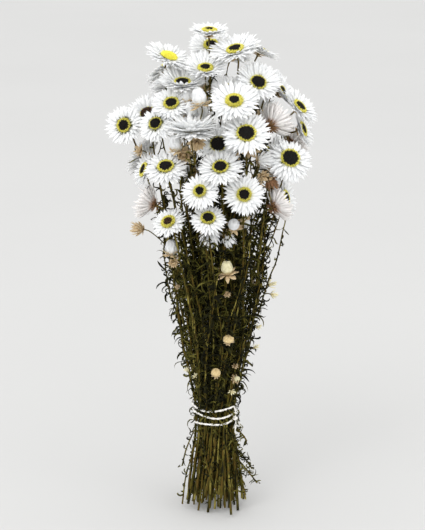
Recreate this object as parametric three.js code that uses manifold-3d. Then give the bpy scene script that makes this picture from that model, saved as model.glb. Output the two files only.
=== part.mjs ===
// A bunch of dried everlasting daisies, tied with string and standing on its splayed cut ends.
// Millimetres, +Z up, the viewer's side is -Y. The origin is on the surface it stands on, under its middle.
import * as THREE from "three";
import { mergeVertices } from "three/addons/utils/BufferGeometryUtils.js";
import Module from "manifold-3d";

const wasm = await Module();
wasm.setup();

// ---- driving dimensions -------------------------------------------------------------------------

const TIE_HEIGHT = 105; // the middle of the string's turns above the cut ends
const CLEARANCE = 0.35; // between pieces that touch

const PETALS = 8; // petals in each of a bloom's two layers
const STEM_SIDES = PETALS / 2;
const STEM_RADIUS = 1.5;
const STEM_STEP = 50; // length of a straight run along a stem
const SHOOT_RADIUS = 0.8;
const ROUTE_FREE_FROM = 195; // stems keep their place in the bundle up to here, then leave for their flowers

const OUTER_CLUMPS = 9;
const INNER_CLUMPS = 3;
const OUTER_RING = 15.8; // clump centres from the bunch's middle, at the tie
const INNER_RING = 5.5;
const CLUMP_RING = 3.5; // stems round their clump's middle, at the tie
const STEMS_IN_CLUMP = 4;

const TOP_SLOPE = 1.6; // a flower this much higher for each millimetre further out is as near the middle
const NECK_LENGTH = 11; // the last straight run of a stem, behind its flower
const CUP_DEPTH = 4.5; // where the stem widens to the cup of bracts behind the petals
const NOD = 26; // how far below that it bends towards the flower
const STEM_ROOM = 0.45; // between stems of different clumps
const BEND_ROUNDS = 200;
const FREE_POINT = 4; // the first point of a stem's route that may be bent

const WAIST = 8; // how softly the bundle narrows to the tie
const FLARE_UP = 0.0115; // how fast it widens above the tie, as a share of its size per millimetre
const FLARE_DOWN = 0.0066;
const TWIST = 0.0035; // the spiral of a hand-tied bunch, radians per millimetre

const NOTCH_SHARE = 0.66; // where neighbouring petals part, as a share of the bloom's radius
const INNER_SHARE = 0.8; // reach of the inner layer
const VALLEY_SHARE = 0.46; // where the two layers join
const SETTLE_ROUNDS = 400;
const SLIDE = new THREE.Vector3(0.5, 1, 0.6); // how readily a flower gives way: sideways, in or out, up or down
const PETAL_ROOM = 2.2; // between one flower's petals and another's
const PETAL_FITS = [1, 0.96, 0.92, 0.88, 0.84, 0.8, 0.76, 0.72, 0.68]; // shares of a pressed bloom's reach, tried in turn
const INNER_LIFT = 16; // degrees that the inner layer stands above the outer one
const DISC_HEIGHT = 4; // from the back of the petals to the disc
const CUP_RADIUS = 3.2; // of the bracts behind the petals
const NECK_RADIUS = 1.4;

const LEAF_WIDTH = 3.0;
const LEAF_THICKNESS = 0.8;
const LEAF_LENGTHS = [22, 44];
const LEAF_EVERY = 102; // along a stem
const LEAVES_FROM = 128; // height of the lowest ones
const LEAF_TRIES = 8; // ways tried for a leaf before it is left out
const EGG_LENGTH = 1.25; // of a bud, as a share of its width
const EGG_RADIUS = 0.52;
const SHOOT_TRIES = 14; // stems tried for a side shoot
const SHOOT_DROPS = [22, 32, 48, 66]; // how far below its bud a side shoot may leave its stem

const STRING_RADIUS = 1.0;
const STRING_TURNS = 3;
const STRING_PITCH = 7;
const STRING_SLANT = 2.5; // each turn rises to one side and falls to the other
const STRING_ZONE = 20; // leaves keep this far above and below the turns' middle
const KNOT_TURN = -0.9; // where the knot is, round the bunch
const STRING_STEPS = 16; // to a turn

// ---- the flowers that the front shows ------------------------------------------------------------
// x, y, z of the disc, width across the petals, the way it faces (turn from the front to the right, then rise),
// and how far the petals stand up from flat, in degrees.

const OPEN_BLOOMS = [
  [-6, -12, 517, 41, 0, 82, 15],
  [-5, 12, 498, 48, 0, 52, 12],
  [-47, -15, 492, 50, 48, 65, 10],
  [-18, -30, 486, 46, 0, 66, 22],
  [-26, -37, 466, 48, 0, 70, 22],
  [21, -30, 493, 55, -37, 67, 12],
  [52, 8, 469, 37, 69, 66, 20],
  [41, -28, 462, 48, 19, 43, 15],
  [15, -40, 462, 38, 0, 44, 10],
  [20, -64, 452, 52, 0, 52, 8],
  [-93, -20, 421, 42, -20, 20, 10],
  [-69, -2, 432, 44, -6, 45, 15],
  [-57, -46, 430, 40, -22, 34, -5],
  [-42, -37, 447, 42, -10, 50, 12],
  [-47, 10, 458, 42, -110, 50, 28],
  [-24, -70, 427, 50, 180, 84, 20],
  [3, -46, 411, 44, 0, -12, 10],
  [30, -70, 425, 51, 0, 44, 5],
  [60, -25, 424, 46, 139, 25, 25],
  [85, -3, 411, 41, 75, 22, 15],
  [76, -42, 392, 50, 14, 36, -15],
  [67, -26, 344, 42, 120, 18, 20],
  [3, -74, 390, 47, -8, 52, 5],
  [29, -72, 361, 43, 0, 25, 5],
  [-15, -78, 365, 39, -8, 30, -5],
  [-7, -76, 337, 37, 0, 50, -8],
  [-50, -52, 388, 46, -12, 56, 0],
  [-69, -20, 375, 38, -71, 23, 15],
  [-67, -27, 344, 42, -110, 16, 25],
  [-45, -48, 329, 36, -28, 46, 5],
  [68, 5, 452, 44, 76, 32, 20],
  [56, 18, 386, 34, 80, 45, 15],
];

// Round the back the flowers go on at about the same spacing, by a rule: the dome that they stand on, from below.
const BACK_BLOOMS = 14;
const DOME = [
  [335, 66],
  [385, 86],
  [430, 84],
  [475, 66],
  [500, 40],
];
const BACK_ARC = [70, 250]; // degrees from the front to the right, round the back
const BACK_WIDTHS = [38, 50];
const GOLDEN_TURN = 0.618; // from one to the next, as a share of the arc

// Buds and half-open flowers on side shoots: x, y, z, diameter, turn, rise.
const BUDS = [
  [-37, -56, 408, 13, -62, 69],
  [-12, -58, 452, 11, -30, 70],
  [49, -47, 386, 16, 80, 12],
  [-74, -20, 312, 13, -80, 13],
  [-45, -42, 297, 13, 170, 80],
  [-14, -47, 321, 14, 0, 74],
  [19, -50, 326, 13, 0, 39],
  [55, -50, 369, 12, 107, -50],
  [12, -46, 276, 11, 0, 60],
  [52, -18, 250, 9, 86, 32],
  [14, -40, 202, 10, 0, 80],
  [1, -34, 163, 9, 0, 80],
  [-30, 52, 300, 13, 200, 50],
  [40, 50, 318, 12, 150, 45],
];

// ---- small helpers ---------------------------------------------------------------------------------

const V = (x, y, z) => new THREE.Vector3(x, y, z);
const rad = THREE.MathUtils.degToRad;
const mix = THREE.MathUtils.lerp;

// An even spread of values from 0 to 1, the same each time: the k-th draw for thing i.
function draw(i, k) {
  const t = i * 0.754877666 + k * 0.569840291;
  return t - Math.floor(t);
}

// The direction that a flower faces: turned from the viewer's side to the right, then raised.
function facing(turn, rise) {
  const level = Math.cos(rad(rise));
  return V(Math.sin(rad(turn)) * level, -Math.cos(rad(turn)) * level, Math.sin(rad(rise)));
}

function solidOf(geometry) {
  const bare = new THREE.BufferGeometry();
  bare.setAttribute("position", geometry.getAttribute("position"));
  if (geometry.index) bare.setIndex(geometry.index);
  const merged = mergeVertices(bare, 1e-4);
  const index = merged.index.array;
  const kept = [];
  for (let i = 0; i < index.length; i += 3) {
    const [a, b, c] = [index[i], index[i + 1], index[i + 2]];
    if (a !== b && b !== c && c !== a) kept.push(a, b, c);
  }
  return new wasm.Manifold(
    new wasm.Mesh({
      numProp: 3,
      vertProperties: merged.getAttribute("position").array,
      triVerts: new Uint32Array(kept),
    }),
  );
}

// Joins solids two by two, so that no join meets a much larger body than it has to.
function fuse(solids) {
  let row = solids;
  while (row.length > 1) {
    const next = [];
    for (let i = 0; i < row.length; i += 2) {
      next.push(i + 1 < row.length ? row[i].add(row[i + 1]) : row[i]);
    }
    row = next;
  }
  return row[0];
}

function meshOf(name, solid, material) {
  const made = solid.getMesh();
  const geometry = new THREE.BufferGeometry();
  geometry.setAttribute("position", new THREE.BufferAttribute(made.vertProperties, 3));
  geometry.setIndex(new THREE.BufferAttribute(made.triVerts, 1));
  const mesh = new THREE.Mesh(geometry, material);
  mesh.name = name;
  return mesh;
}

// A closed body from rings of points. A ring has as many points as the next, twice or half as many, or one.
function ringedBody(rings) {
  const starts = rings.map((_, i) => rings.slice(0, i).flat().length);
  const faces = [];
  for (let r = 0; r + 1 < rings.length; r++) {
    const sizes = [rings[r].length, rings[r + 1].length];
    const count = Math.max(...sizes);
    const low = (k) => starts[r] + (Math.ceil((k * sizes[0]) / count) % sizes[0]);
    const high = (k) => starts[r + 1] + (Math.floor((k * sizes[1]) / count) % sizes[1]);
    for (let k = 0; k < count; k++) {
      faces.push(low(k), low(k + 1), high(k + 1));
      faces.push(low(k), high(k + 1), high(k));
    }
  }
  return new THREE.BufferGeometry().setFromPoints(rings.flat()).setIndex(faces);
}

// A ring of points round the z axis. Radii and heights are given by turns: one value, or one for each other point.
function ring(count, radii, heights) {
  return Array.from({ length: count }, (_, k) => {
    const angle = (k / count) * 2 * Math.PI;
    const radius = radii[k % radii.length];
    return V(radius * Math.cos(angle), radius * Math.sin(angle), heights[k % heights.length]);
  });
}

// The rings of a strand through the given points, and the direction across it that its last ring starts from.
function strandRings(points, radius) {
  const last = points.length - 1;
  const across = V(1, 0, 0);
  const rings = points.map((point, i) => {
    const along = points[Math.min(i + 1, last)].clone().sub(points[Math.max(i - 1, 0)]).normalize();
    if (i === 0 && along.z > 0.8) along.set(0, 0, 1);
    across.addScaledVector(along, -across.dot(along)).normalize();
    return around(point, along, across, ring(STEM_SIDES, [radius], [0]));
  });
  return { rings, across };
}

// Sets points that were made round the z axis round another axis instead.
function around(seat, axis, across, points) {
  const basis = new THREE.Matrix4().makeBasis(across, axis.clone().cross(across), axis).setPosition(seat);
  return points.map((point) => point.applyMatrix4(basis));
}

// The stalks and leaf bases pressed between the stems of a clump, under the string.
function coreOf(members) {
  const ends = [1 - WAIST, WAIST - 1].map((rise) => members.map((slot) => inBundle(slot, TIE_HEIGHT + rise)));
  const total = (points) => points.reduce((sum, point) => sum.add(point), V(0, 0, 0));
  const middles = ends.map((points) => total(points).divideScalar(points.length));
  return solidOf(ringedBody([[middles[0]], ...ends, [middles[1]]]));
}

// ---- where the flowers are ---------------------------------------------------------------------------

const discRadius = (width) => 4.6 + width * 0.075;

function bloom([x, y, z, width, turn, rise, cup], index) {
  const axis = facing(turn, rise);
  const seat = V(x, y, z).addScaledVector(axis, -DISC_HEIGHT);
  return { index, seat, home: seat.clone(), axis, radius: width / 2, disc: discRadius(width), cup };
}

// The dome's radius at a height.
function domeRadius(z) {
  const above = DOME.findIndex(([height]) => height > z);
  if (above < 1) return above === 0 ? DOME[0][1] : DOME.at(-1)[1];
  const [[z0, r0], [z1, r1]] = [DOME[above - 1], DOME[above]];
  return mix(r0, r1, (z - z0) / (z1 - z0));
}

// The back's flowers wind up the dome, facing out and up.
const backBlooms = Array.from({ length: BACK_BLOOMS }, (_, i) => {
  const share = (i + 0.5) / BACK_BLOOMS;
  const z = mix(DOME[0][0], DOME.at(-1)[0], share);
  const turn = mix(...BACK_ARC, (i * GOLDEN_TURN + 0.1) % 1);
  const out = facing(turn, 0).multiplyScalar(domeRadius(z));
  const width = mix(...BACK_WIDTHS, draw(i, 1));
  return [out.x, out.y, z, width, turn + mix(-20, 20, draw(i, 2)), mix(15, 62, share), mix(-8, 22, draw(i, 3))];
});

const blooms = [...OPEN_BLOOMS, ...backBlooms].map(bloom);

// The back and the front of a bloom, at a distance from its axis.
function petalBack(flower, distance) {
  return Math.tan(rad(flower.cup)) * distance;
}

function petalFront(flower, distance) {
  const inner = Math.tan(rad(flower.cup + INNER_LIFT)) * Math.min(distance, INNER_SHARE * flower.radius) + 1.4;
  return distance < flower.disc ? Math.max(inner, DISC_HEIGHT + 1.8) : inner;
}

// How far, and which way, a point has to go to leave a bloom, with room to spare; null where it is clear.
function wayOut(flower, point, room) {
  const rel = point.clone().sub(flower.seat);
  const height = rel.dot(flower.axis);
  const flat = rel.addScaledVector(flower.axis, -height);
  const distance = flat.length();
  const beyond = flower.radius + room - distance;
  if (beyond <= 0) return null;
  const up = petalFront(flower, distance) + room - height;
  const down = height - petalBack(flower, distance) + room;
  if (up <= 0 || down <= 0) return null;
  if (beyond < Math.min(up, down) && distance > 1) return flat.normalize().multiplyScalar(beyond);
  return flower.axis.clone().multiplyScalar(up < down ? up : -down);
}

// Two directions square to an axis.
function across(axis) {
  const one = (Math.abs(axis.z) < 0.9 ? V(0, 0, 1) : V(1, 0, 0)).cross(axis).normalize();
  return [one, axis.clone().cross(one)];
}

// Points spread over a bloom's petals, and down its neck.
function petalSamples(flower) {
  const [one, two] = across(flower.axis);
  const found = [8, 18].map((depth) => flower.seat.clone().addScaledVector(flower.axis, -depth));
  for (const [count, share] of [[12, 0.97], [6, 0.6], [1, 0]]) {
    for (let k = 0; k < count; k++) {
      const angle = (k / count) * 2 * Math.PI;
      const distance = flower.radius * share;
      const height = (petalBack(flower, distance) + petalFront(flower, distance)) / 2;
      const point = flower.seat.clone().addScaledVector(flower.axis, height);
      point.addScaledVector(one, distance * Math.cos(angle));
      found.push(point.addScaledVector(two, distance * Math.sin(angle)));
    }
  }
  return found;
}

// Blooms that press on each other slide apart a little, mostly in and out of the bunch.
function slideApart(flowers) {
  for (const a of flowers) {
    for (const b of flowers) {
      if (a === b || a.seat.distanceTo(b.seat) > a.radius + b.radius + 20) continue;
      const ways = petalSamples(a).map((point) => wayOut(b, point, PETAL_ROOM)).filter(Boolean);
      if (!ways.length) continue;
      const worst = ways.reduce((far, way) => (way.length() > far.length() ? way : far)).multiply(SLIDE);
      a.seat.addScaledVector(worst, 0.25);
      b.seat.addScaledVector(worst, -0.25);
    }
  }
}

for (let round = 0; round < SETTLE_ROUNDS; round++) {
  slideApart(blooms);
  for (const flower of blooms) flower.seat.lerp(flower.home, 0.02);
}

// ---- how the stems run --------------------------------------------------------------------------------

// The place of a stem in the tied bundle at a height: its clump's, and its own in the clump, spiralling up.
function inBundle({ ringRadius, clumpTurn, member }, z) {
  const rise = z - TIE_HEIGHT;
  const flare = rise > 0 ? FLARE_UP : FLARE_DOWN;
  const spread = 1 + flare * (Math.hypot(rise, WAIST) - WAIST);
  const turn = clumpTurn + TWIST * rise;
  const own = turn + (member / STEMS_IN_CLUMP) * 2 * Math.PI;
  const reach = member === null ? 0 : CLUMP_RING;
  const x = ringRadius * Math.cos(turn) + reach * Math.cos(own);
  const y = ringRadius * Math.sin(turn) + reach * Math.sin(own);
  return V(x * spread, y * spread, z);
}

// From the cut end, through the tie and up in a bend into the back of the flower.
function routeOf(slot, flower) {
  const low = [slot.foot, TIE_HEIGHT - WAIST, TIE_HEIGHT + WAIST, ROUTE_FREE_FROM];
  const points = low.map((z) => inBundle(slot, z));
  const start = points.at(-1);
  const heading = start.clone().sub(points.at(-2)).normalize();
  const distance = start.distanceTo(flower.seat);
  const behind = (depth) => flower.seat.clone().addScaledVector(flower.axis, -depth);
  const bend = new THREE.CubicBezierCurve3(
    start,
    start.clone().addScaledVector(heading, 0.35 * distance),
    behind(NECK_LENGTH + Math.min(NOD, 0.3 * distance)),
    behind(NECK_LENGTH),
  );
  const runs = Math.max(3, Math.round(bend.getLength() / STEM_STEP));
  return [...points, ...bend.getSpacedPoints(runs).slice(1), behind(CUP_DEPTH)];
}

// Which stem carries which flower: the top's come up through the middle, the others go by their direction.
function share(flowers) {
  const middle = (flower) => flower.seat.z - TOP_SLOPE * Math.hypot(flower.seat.x, flower.seat.y);
  const turnOf = (flower) => Math.atan2(flower.seat.y, flower.seat.x);
  const sorted = [...flowers].sort((a, b) => middle(b) - middle(a));
  const innerCount = INNER_CLUMPS * STEMS_IN_CLUMP;
  const kinds = [
    { found: sorted.slice(0, innerCount), clumps: INNER_CLUMPS, ringRadius: INNER_RING, first: OUTER_CLUMPS },
    { found: sorted.slice(innerCount), clumps: OUTER_CLUMPS, ringRadius: OUTER_RING, first: 0 },
  ];
  const stems = [];
  for (const { found, clumps, ringRadius, first } of kinds) {
    found.sort((a, b) => turnOf(a) - turnOf(b));
    for (let c = 0; c < clumps; c++) {
      const [from, to] = [c, c + 1].map((k) => Math.floor((k * found.length) / clumps));
      const own = found.slice(from, to);
      const clumpTurn = ((c + 0.5) / clumps) * 2 * Math.PI - Math.PI - TWIST * (ROUTE_FREE_FROM - TIE_HEIGHT);
      const [low, ...rest] = own.sort((a, b) => middle(a) - middle(b));
      const high = rest.pop();
      rest.sort((a, b) => turnOf(b) - turnOf(a));
      const members = [low, rest[0], high, rest[1]];
      members.forEach((flower, member) => {
        if (!flower) return;
        const foot = member === 0 && ringRadius === OUTER_RING ? 0 : 4 * draw(flower.index, 5);
        stems.push({ clump: first + c, ringRadius, clumpTurn, member, flower, foot });
      });
    }
  }
  return stems;
}

const stems = share(blooms).map((stem) => ({ ...stem, route: routeOf(stem, stem.flower) }));

// The shortest way between two straight runs: where it leaves each of them, as shares, and the way itself.
function between(a0, a1, b0, b1) {
  const [u, v, w] = [a1.clone().sub(a0), b1.clone().sub(b0), a0.clone().sub(b0)];
  const [uu, uv, vv, uw, vw] = [u.dot(u), u.dot(v), v.dot(v), u.dot(w), v.dot(w)];
  const clamp = (x) => Math.min(1, Math.max(0, x));
  const square = uu * vv - uv * uv;
  let s = square > 1e-9 ? clamp((uv * vw - vv * uw) / square) : 0;
  const t = clamp((uv * s + vw) / vv);
  s = clamp((uv * t - uw) / uu);
  const way = w.clone().addScaledVector(u, s).addScaledVector(v, -t);
  return { s, t, way, gap: way.length() };
}

// Two stems that touch above the bundle push each other aside, each run shared by its two points.
function pushStems(a, b) {
  for (let m = FREE_POINT - 1; m + 1 < a.route.length; m++) {
    for (let n = FREE_POINT - 1; n + 1 < b.route.length; n++) {
      const { s, t, way, gap } = between(a.route[m], a.route[m + 1], b.route[n], b.route[n + 1]);
      const thick = (stem, run) => (run === stem.route.length - 2 ? CUP_RADIUS : STEM_RADIUS);
      const short = thick(a, m) + thick(b, n) + STEM_ROOM - gap;
      if (short <= 0) continue;
      way.setLength(short * 0.5);
      a.pushes[m].addScaledVector(way, 1 - s);
      a.pushes[m + 1].addScaledVector(way, s);
      b.pushes[n].addScaledVector(way, t - 1);
      b.pushes[n + 1].addScaledVector(way, -t);
    }
  }
}

// A stem that meets another flower's petals is pushed out of them, and the flower gives way a little too.
function pushOutOf(flower, stem) {
  for (let m = FREE_POINT - 1; m + 1 < stem.route.length; m++) {
    for (const s of [0, 0.17, 0.33, 0.5, 0.67, 0.83]) {
      const point = stem.route[m].clone().lerp(stem.route[m + 1], s);
      const way = wayOut(flower, point, STEM_RADIUS + 1.2);
      if (!way) continue;
      stem.pushes[m].addScaledVector(way, 0.4 * (1 - s));
      stem.pushes[m + 1].addScaledVector(way, 0.4 * s);
      flower.seat.addScaledVector(way.multiply(SLIDE), -0.16);
    }
  }
}

// The last straight run of a stem follows its flower.
function setNeck({ route, flower }) {
  route[route.length - 2].copy(flower.seat).addScaledVector(flower.axis, -NECK_LENGTH);
  route[route.length - 1].copy(flower.seat).addScaledVector(flower.axis, -CUP_DEPTH);
}

// Above the bundle the stems are bent clear of each other and of other flowers' petals.
function bendClear(stems) {
  for (let round = 0; round < BEND_ROUNDS; round++) {
    for (const stem of stems) stem.pushes = stem.route.map(() => V(0, 0, 0));
    stems.forEach((a, i) => stems.slice(i + 1).forEach((b) => pushStems(a, b)));
    for (const stem of stems) {
      for (const { flower } of stems) if (flower !== stem.flower) pushOutOf(flower, stem);
    }
    for (const { route, flower, pushes } of stems) {
      for (let m = FREE_POINT; m < route.length - 2; m++) {
        const even = route[m - 1].clone().add(route[m + 1]).multiplyScalar(0.5);
        route[m].add(pushes[m].clampLength(0, 3)).lerp(even, 0.04);
      }
      const push = pushes.at(-2).clone().add(pushes.at(-1)).multiply(SLIDE).clampLength(0, 2);
      flower.seat.addScaledVector(push, 0.4);
    }
    slideApart(blooms);
    stems.forEach(setNeck);
  }
}

bendClear(stems);

// ---- what keeps clear of what ----------------------------------------------------------------------------

// Every straight run that is taken, with the clump it belongs to.
const taken = [];

function take(points, radius, owner) {
  points.slice(1).forEach((end, i) => taken.push({ start: points[i], end, radius, owner }));
}

for (const { route } of stems) take(route, STEM_RADIUS, route);

// Whether a line of points, this thick, keeps clear of all but its own stem: stems, leaves, petals and string.
function isClear(points, radius, owner) {
  const runs = points.slice(1).map((end, i) => [points[i], end]);
  for (const [start, end] of runs) {
    for (const share of [0.2, 0.5, 0.8, 1]) {
      const point = start.clone().lerp(end, share);
      const outside = Math.hypot(point.x, point.y) > OUTER_RING;
      if (outside && Math.abs(point.z - TIE_HEIGHT) < STRING_ZONE) return false;
      if (point.z < 2) return false;
      if (blooms.some((flower) => wayOut(flower, point, radius + CLEARANCE))) return false;
    }
    for (const other of taken) {
      if (other.owner === owner) continue;
      if (other.start.distanceTo(start) > 90) continue;
      const { gap } = between(start, end, other.start, other.end);
      if (gap < radius + other.radius + CLEARANCE) return false;
    }
  }
  return true;
}

// ---- leaves, and buds on their side shoots ----------------------------------------------------------------

// A dry leaf: a thin arched blade with a sunk root and a pointed tip, which curls as it goes.
function leafSolid(points, width, thickness) {
  const widths = [0.35, 1, 0.8];
  const rings = points.slice(0, -1).map((point, i) => {
    const along = points[i + 1].clone().sub(point).normalize();
    const flat = V(0, 0, 1).cross(along).normalize();
    const up = along.clone().cross(flat);
    const half = (widths[i] * width) / 2;
    return [
      point.clone().addScaledVector(flat, half).addScaledVector(up, -0.25 * half),
      point.clone().addScaledVector(up, thickness),
      point.clone().addScaledVector(flat, -half).addScaledVector(up, -0.25 * half),
    ];
  });
  return solidOf(ringedBody([[points[0]], ...rings, [points.at(-1)]]));
}

// A leaf that is larger all round by the clearance, for trying its place.
function grownLeaf(points) {
  const [before, tip] = points.slice(-2);
  const further = tip.clone().addScaledVector(tip.clone().sub(before).normalize(), 2 * CLEARANCE);
  const more = 2 * CLEARANCE;
  return leafSolid([...points.slice(0, -1), further], LEAF_WIDTH + more, LEAF_THICKNESS + more);
}

// The line of a leaf from its root: out and up, then over under its own dryness, and to one side.
function leafLine(root, turn, length, rise, droop, curl) {
  const out = V(Math.cos(turn), Math.sin(turn), 0);
  const side = V(-Math.sin(turn), Math.cos(turn), 0);
  return [0, 0.34, 0.7, 1].map((t) =>
    root
      .clone()
      .addScaledVector(out, length * t * Math.cos(rad(rise)))
      .addScaledVector(side, length * curl * Math.sin(Math.PI * t) * t)
      .add(V(0, 0, length * (t * Math.sin(rad(rise)) - droop * t * t))),
  );
}

// The point of a route at a height.
function routeAt(route, z) {
  const above = route.findIndex((point) => point.z > z);
  if (above < 1) return null;
  const [low, high] = [route[above - 1], route[above]];
  return low.clone().lerp(high, (z - low.z) / (high.z - low.z));
}

function leavesOf(stem, index) {
  const leaves = [];
  const top = stem.flower.seat.z - 22;
  for (let i = 0, z = LEAVES_FROM + LEAF_EVERY * draw(index, 6); z < top; i++, z += LEAF_EVERY) {
    const root = routeAt(stem.route, z);
    if (!root) break;
    const seed = 10 * index + i;
    const outward = Math.atan2(root.y, root.x);
    for (let attempt = 0; attempt < LEAF_TRIES; attempt++) {
      const turn = outward + (draw(seed, 7 + attempt) - 0.5) * 3.4;
      const length = mix(...LEAF_LENGTHS, draw(seed, 20 + attempt));
      const rise = mix(25, 70, draw(seed, 30 + attempt));
      const droop = mix(0.1, 0.75, draw(seed, 40 + attempt));
      const curl = mix(-0.4, 0.4, draw(seed, 50 + attempt));
      const line = leafLine(root, turn, length, rise, droop, curl);
      if (!isClear(line, LEAF_WIDTH / 2 + 0.2, stem.route)) continue;
      if (meetsPetals(grownLeaf(line))) continue;
      take(line, LEAF_WIDTH / 2, null);
      leaves.push(leafSolid(line, LEAF_WIDTH, LEAF_THICKNESS));
      break;
    }
  }
  return leaves;
}

// A bud on its side shoot: an egg of closed petals in a cup of pointed bracts.
function budSolid(line, { seat, axis, width }, shootRadius) {
  const { rings, across } = strandRings(line, shootRadius);
  const head = [
    ring(8, [0.62 * width, 0.38 * width], [0.4 * width, 0.15 * width]),
    ring(8, [0.36 * width], [0.42 * width]),
    ring(8, [0.43 * width], [0.85 * width]),
    ring(1, [0], [EGG_LENGTH * width]),
  ].map((points) => around(seat, axis, across, points));
  return solidOf(ringedBody([[line[0]], ...rings, ...head]));
}

// A side shoot from a stem up to a bud, by the shortest way that is clear.
function shootTo(seat, axis, width) {
  const near = stems.flatMap((stem) =>
    SHOOT_DROPS.map((drop) => ({ stem, root: routeAt(stem.route, seat.z - drop) })),
  );
  const found = near
    .filter(({ root, stem }) => root && root.z < stem.flower.seat.z - 25)
    .sort((a, b) => a.root.distanceTo(seat) - b.root.distanceTo(seat));
  for (const { stem, root } of found.slice(0, SHOOT_TRIES)) {
    const neck = seat.clone().addScaledVector(axis, -0.3 * root.distanceTo(seat));
    const line = new THREE.QuadraticBezierCurve3(root, neck, seat).getPoints(3);
    if (isClear(line, SHOOT_RADIUS, stem.route)) return { stem, line };
  }
  return null;
}

// A bud as near as there is room to where it is wanted: moved out of the bunch, sideways or up and down.
function budOf([x, y, z, width, turn, rise]) {
  const axis = facing(turn, rise);
  const out = V(x, y, 0).normalize();
  const side = V(-out.y, out.x, 0);
  for (const outward of [0, 4, 8, 12, 16]) {
    for (const sideways of [0, -5, 5, -10, 10]) {
      for (const upward of [0, -7, 7]) {
        const seat = V(x, y, z + upward).addScaledVector(out, outward).addScaledVector(side, sideways);
        seat.addScaledVector(axis, -0.5 * EGG_LENGTH * width);
        const egg = [seat, seat.clone().addScaledVector(axis, EGG_LENGTH * width)];
        if (!isClear(egg, EGG_RADIUS * width, null)) continue;
        const shoot = shootTo(seat, axis, width);
        if (!shoot) continue;
        const grown = { seat, axis, width: width + 2 * CLEARANCE };
        if (meetsPetals(budSolid(shoot.line, grown, SHOOT_RADIUS + CLEARANCE))) continue;
        take(shoot.line, SHOOT_RADIUS, null);
        take(egg, EGG_RADIUS * width, null);
        return { clump: shoot.stem.clump, solid: budSolid(shoot.line, { seat, axis, width }, SHOOT_RADIUS) };
      }
    }
  }
  throw new Error(`no room for the bud at ${x}, ${y}, ${z}`);
}

// ---- the string ---------------------------------------------------------------------------------------------

// Three slanting turns round the waist, a knot over them at the front and two short ends.
function stringSolid() {
  const clear = OUTER_RING + CLUMP_RING + STEM_RADIUS + CLEARANCE + STRING_RADIUS;
  const chord = 1 / Math.cos(Math.PI / STRING_STEPS);
  const radiusAt = (z) => {
    const spread = 1 + FLARE_UP * (Math.hypot(z - TIE_HEIGHT, WAIST) - WAIST);
    return (clear + (OUTER_RING + CLUMP_RING) * (spread - 1) + 0.3) * chord;
  };
  const around = (angle, z, off = 0) => {
    const radius = radiusAt(z) + off;
    return V(radius * Math.cos(angle), radius * Math.sin(angle), z);
  };
  const steps = STRING_TURNS * STRING_STEPS;
  const turns = Array.from({ length: steps + 1 }, (_, i) => {
    const share = i / steps;
    const slant = STRING_SLANT * Math.sin(2 * Math.PI * STRING_TURNS * share);
    const z = TIE_HEIGHT + (share - 0.5) * STRING_TURNS * STRING_PITCH + slant;
    return around(KNOT_TURN + 2 * Math.PI * STRING_TURNS * share, z);
  });
  const [first, last] = [turns[0], turns.at(-1)];
  const knot = first.clone().lerp(last, 0.45);
  const outward = V(Math.cos(KNOT_TURN), Math.sin(KNOT_TURN), 0);
  const lift = (point, off) => point.clone().addScaledVector(outward, off);
  const bar = [first, lift(first.clone().lerp(last, 0.2), 2.3), lift(first.clone().lerp(last, 0.8), 2.3), last];
  const side = V(-outward.y, outward.x, 0);
  const end = (sideways, down) => [
    lift(knot, 1.5),
    lift(knot, 4).addScaledVector(side, sideways * 0.5).add(V(0, 0, -down * 0.3)),
    lift(knot, 5.5).addScaledVector(side, sideways).add(V(0, 0, -down)),
  ];
  const lump = ringedBody([
    ring(1, [0], [-3.6]),
    ring(8, [3], [-1.6]),
    ring(8, [3.2], [1.4]),
    ring(1, [0], [3.4]),
  ]).applyMatrix4(new THREE.Matrix4().setPosition(lift(knot, 2.2)));
  const tube = (points) => {
    const outline = new THREE.Shape().setFromPoints(
      Array.from({ length: 6 }, (_, k) => {
        const angle = (k / 6) * 2 * Math.PI;
        return new THREE.Vector2(STRING_RADIUS * Math.cos(angle), STRING_RADIUS * Math.sin(angle));
      }),
    );
    const path = new THREE.CatmullRomCurve3(points);
    const settings = { steps: points.length - 1, bevelEnabled: false, extrudePath: path };
    return solidOf(new THREE.ExtrudeGeometry(outline, settings));
  };
  return fuse([tube(turns), tube(bar), solidOf(lump), tube(end(5, 15)), tube(end(-3, 19))]);
}

// ---- the solids ----------------------------------------------------------------------------------------

// Two layers of petals in one body, open round the stem: up the back to the outer tips, in to the valley, out to
// the inner tips, in to the disc's seat and down the hole.
function petalsOf({ seat, axis, radius, cup, disc }, across) {
  const outer = (reach) => Math.tan(rad(cup)) * reach;
  const inner = (reach) => Math.tan(rad(cup + INNER_LIFT)) * reach + 1.4;
  const innerTip = INNER_SHARE * radius;
  const hole = CUP_RADIUS + 0.7 * CLEARANCE;
  const rim = disc + CLEARANCE + 0.1;
  const rimHeight = DISC_HEIGHT - 0.5;
  const valley = Math.max(VALLEY_SHARE * radius, rim + 0.7);
  const notch = Math.max(NOTCH_SHARE * radius, valley + 0.8);
  const innerNotch = Math.max((NOTCH_SHARE * INNER_SHARE + 0.06) * radius, rim + 1);
  const below = (outer(0.95 * radius) * (valley - hole)) / (radius - hole);
  const above = mix(rimHeight, inner(0.97 * innerTip), (valley - rim) / (innerTip - rim));
  const rings = [
    ring(PETALS, [hole], [0]),
    ring(2 * PETALS, [radius, notch], [outer(0.95 * radius), outer(notch) + 0.3]),
    ring(PETALS, [valley], [(below + above) / 2]),
    ring(2 * PETALS, [innerNotch, innerTip], [inner(innerNotch), inner(0.97 * innerTip)]),
    ring(PETALS, [rim], [rimHeight]),
    ring(PETALS, [NECK_RADIUS + 2.4 * CLEARANCE], [1.1]),
    ring(PETALS, [hole], [0]),
  ];
  return solidOf(ringedBody(rings.map((points) => around(seat, axis, across, points))));
}

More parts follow.
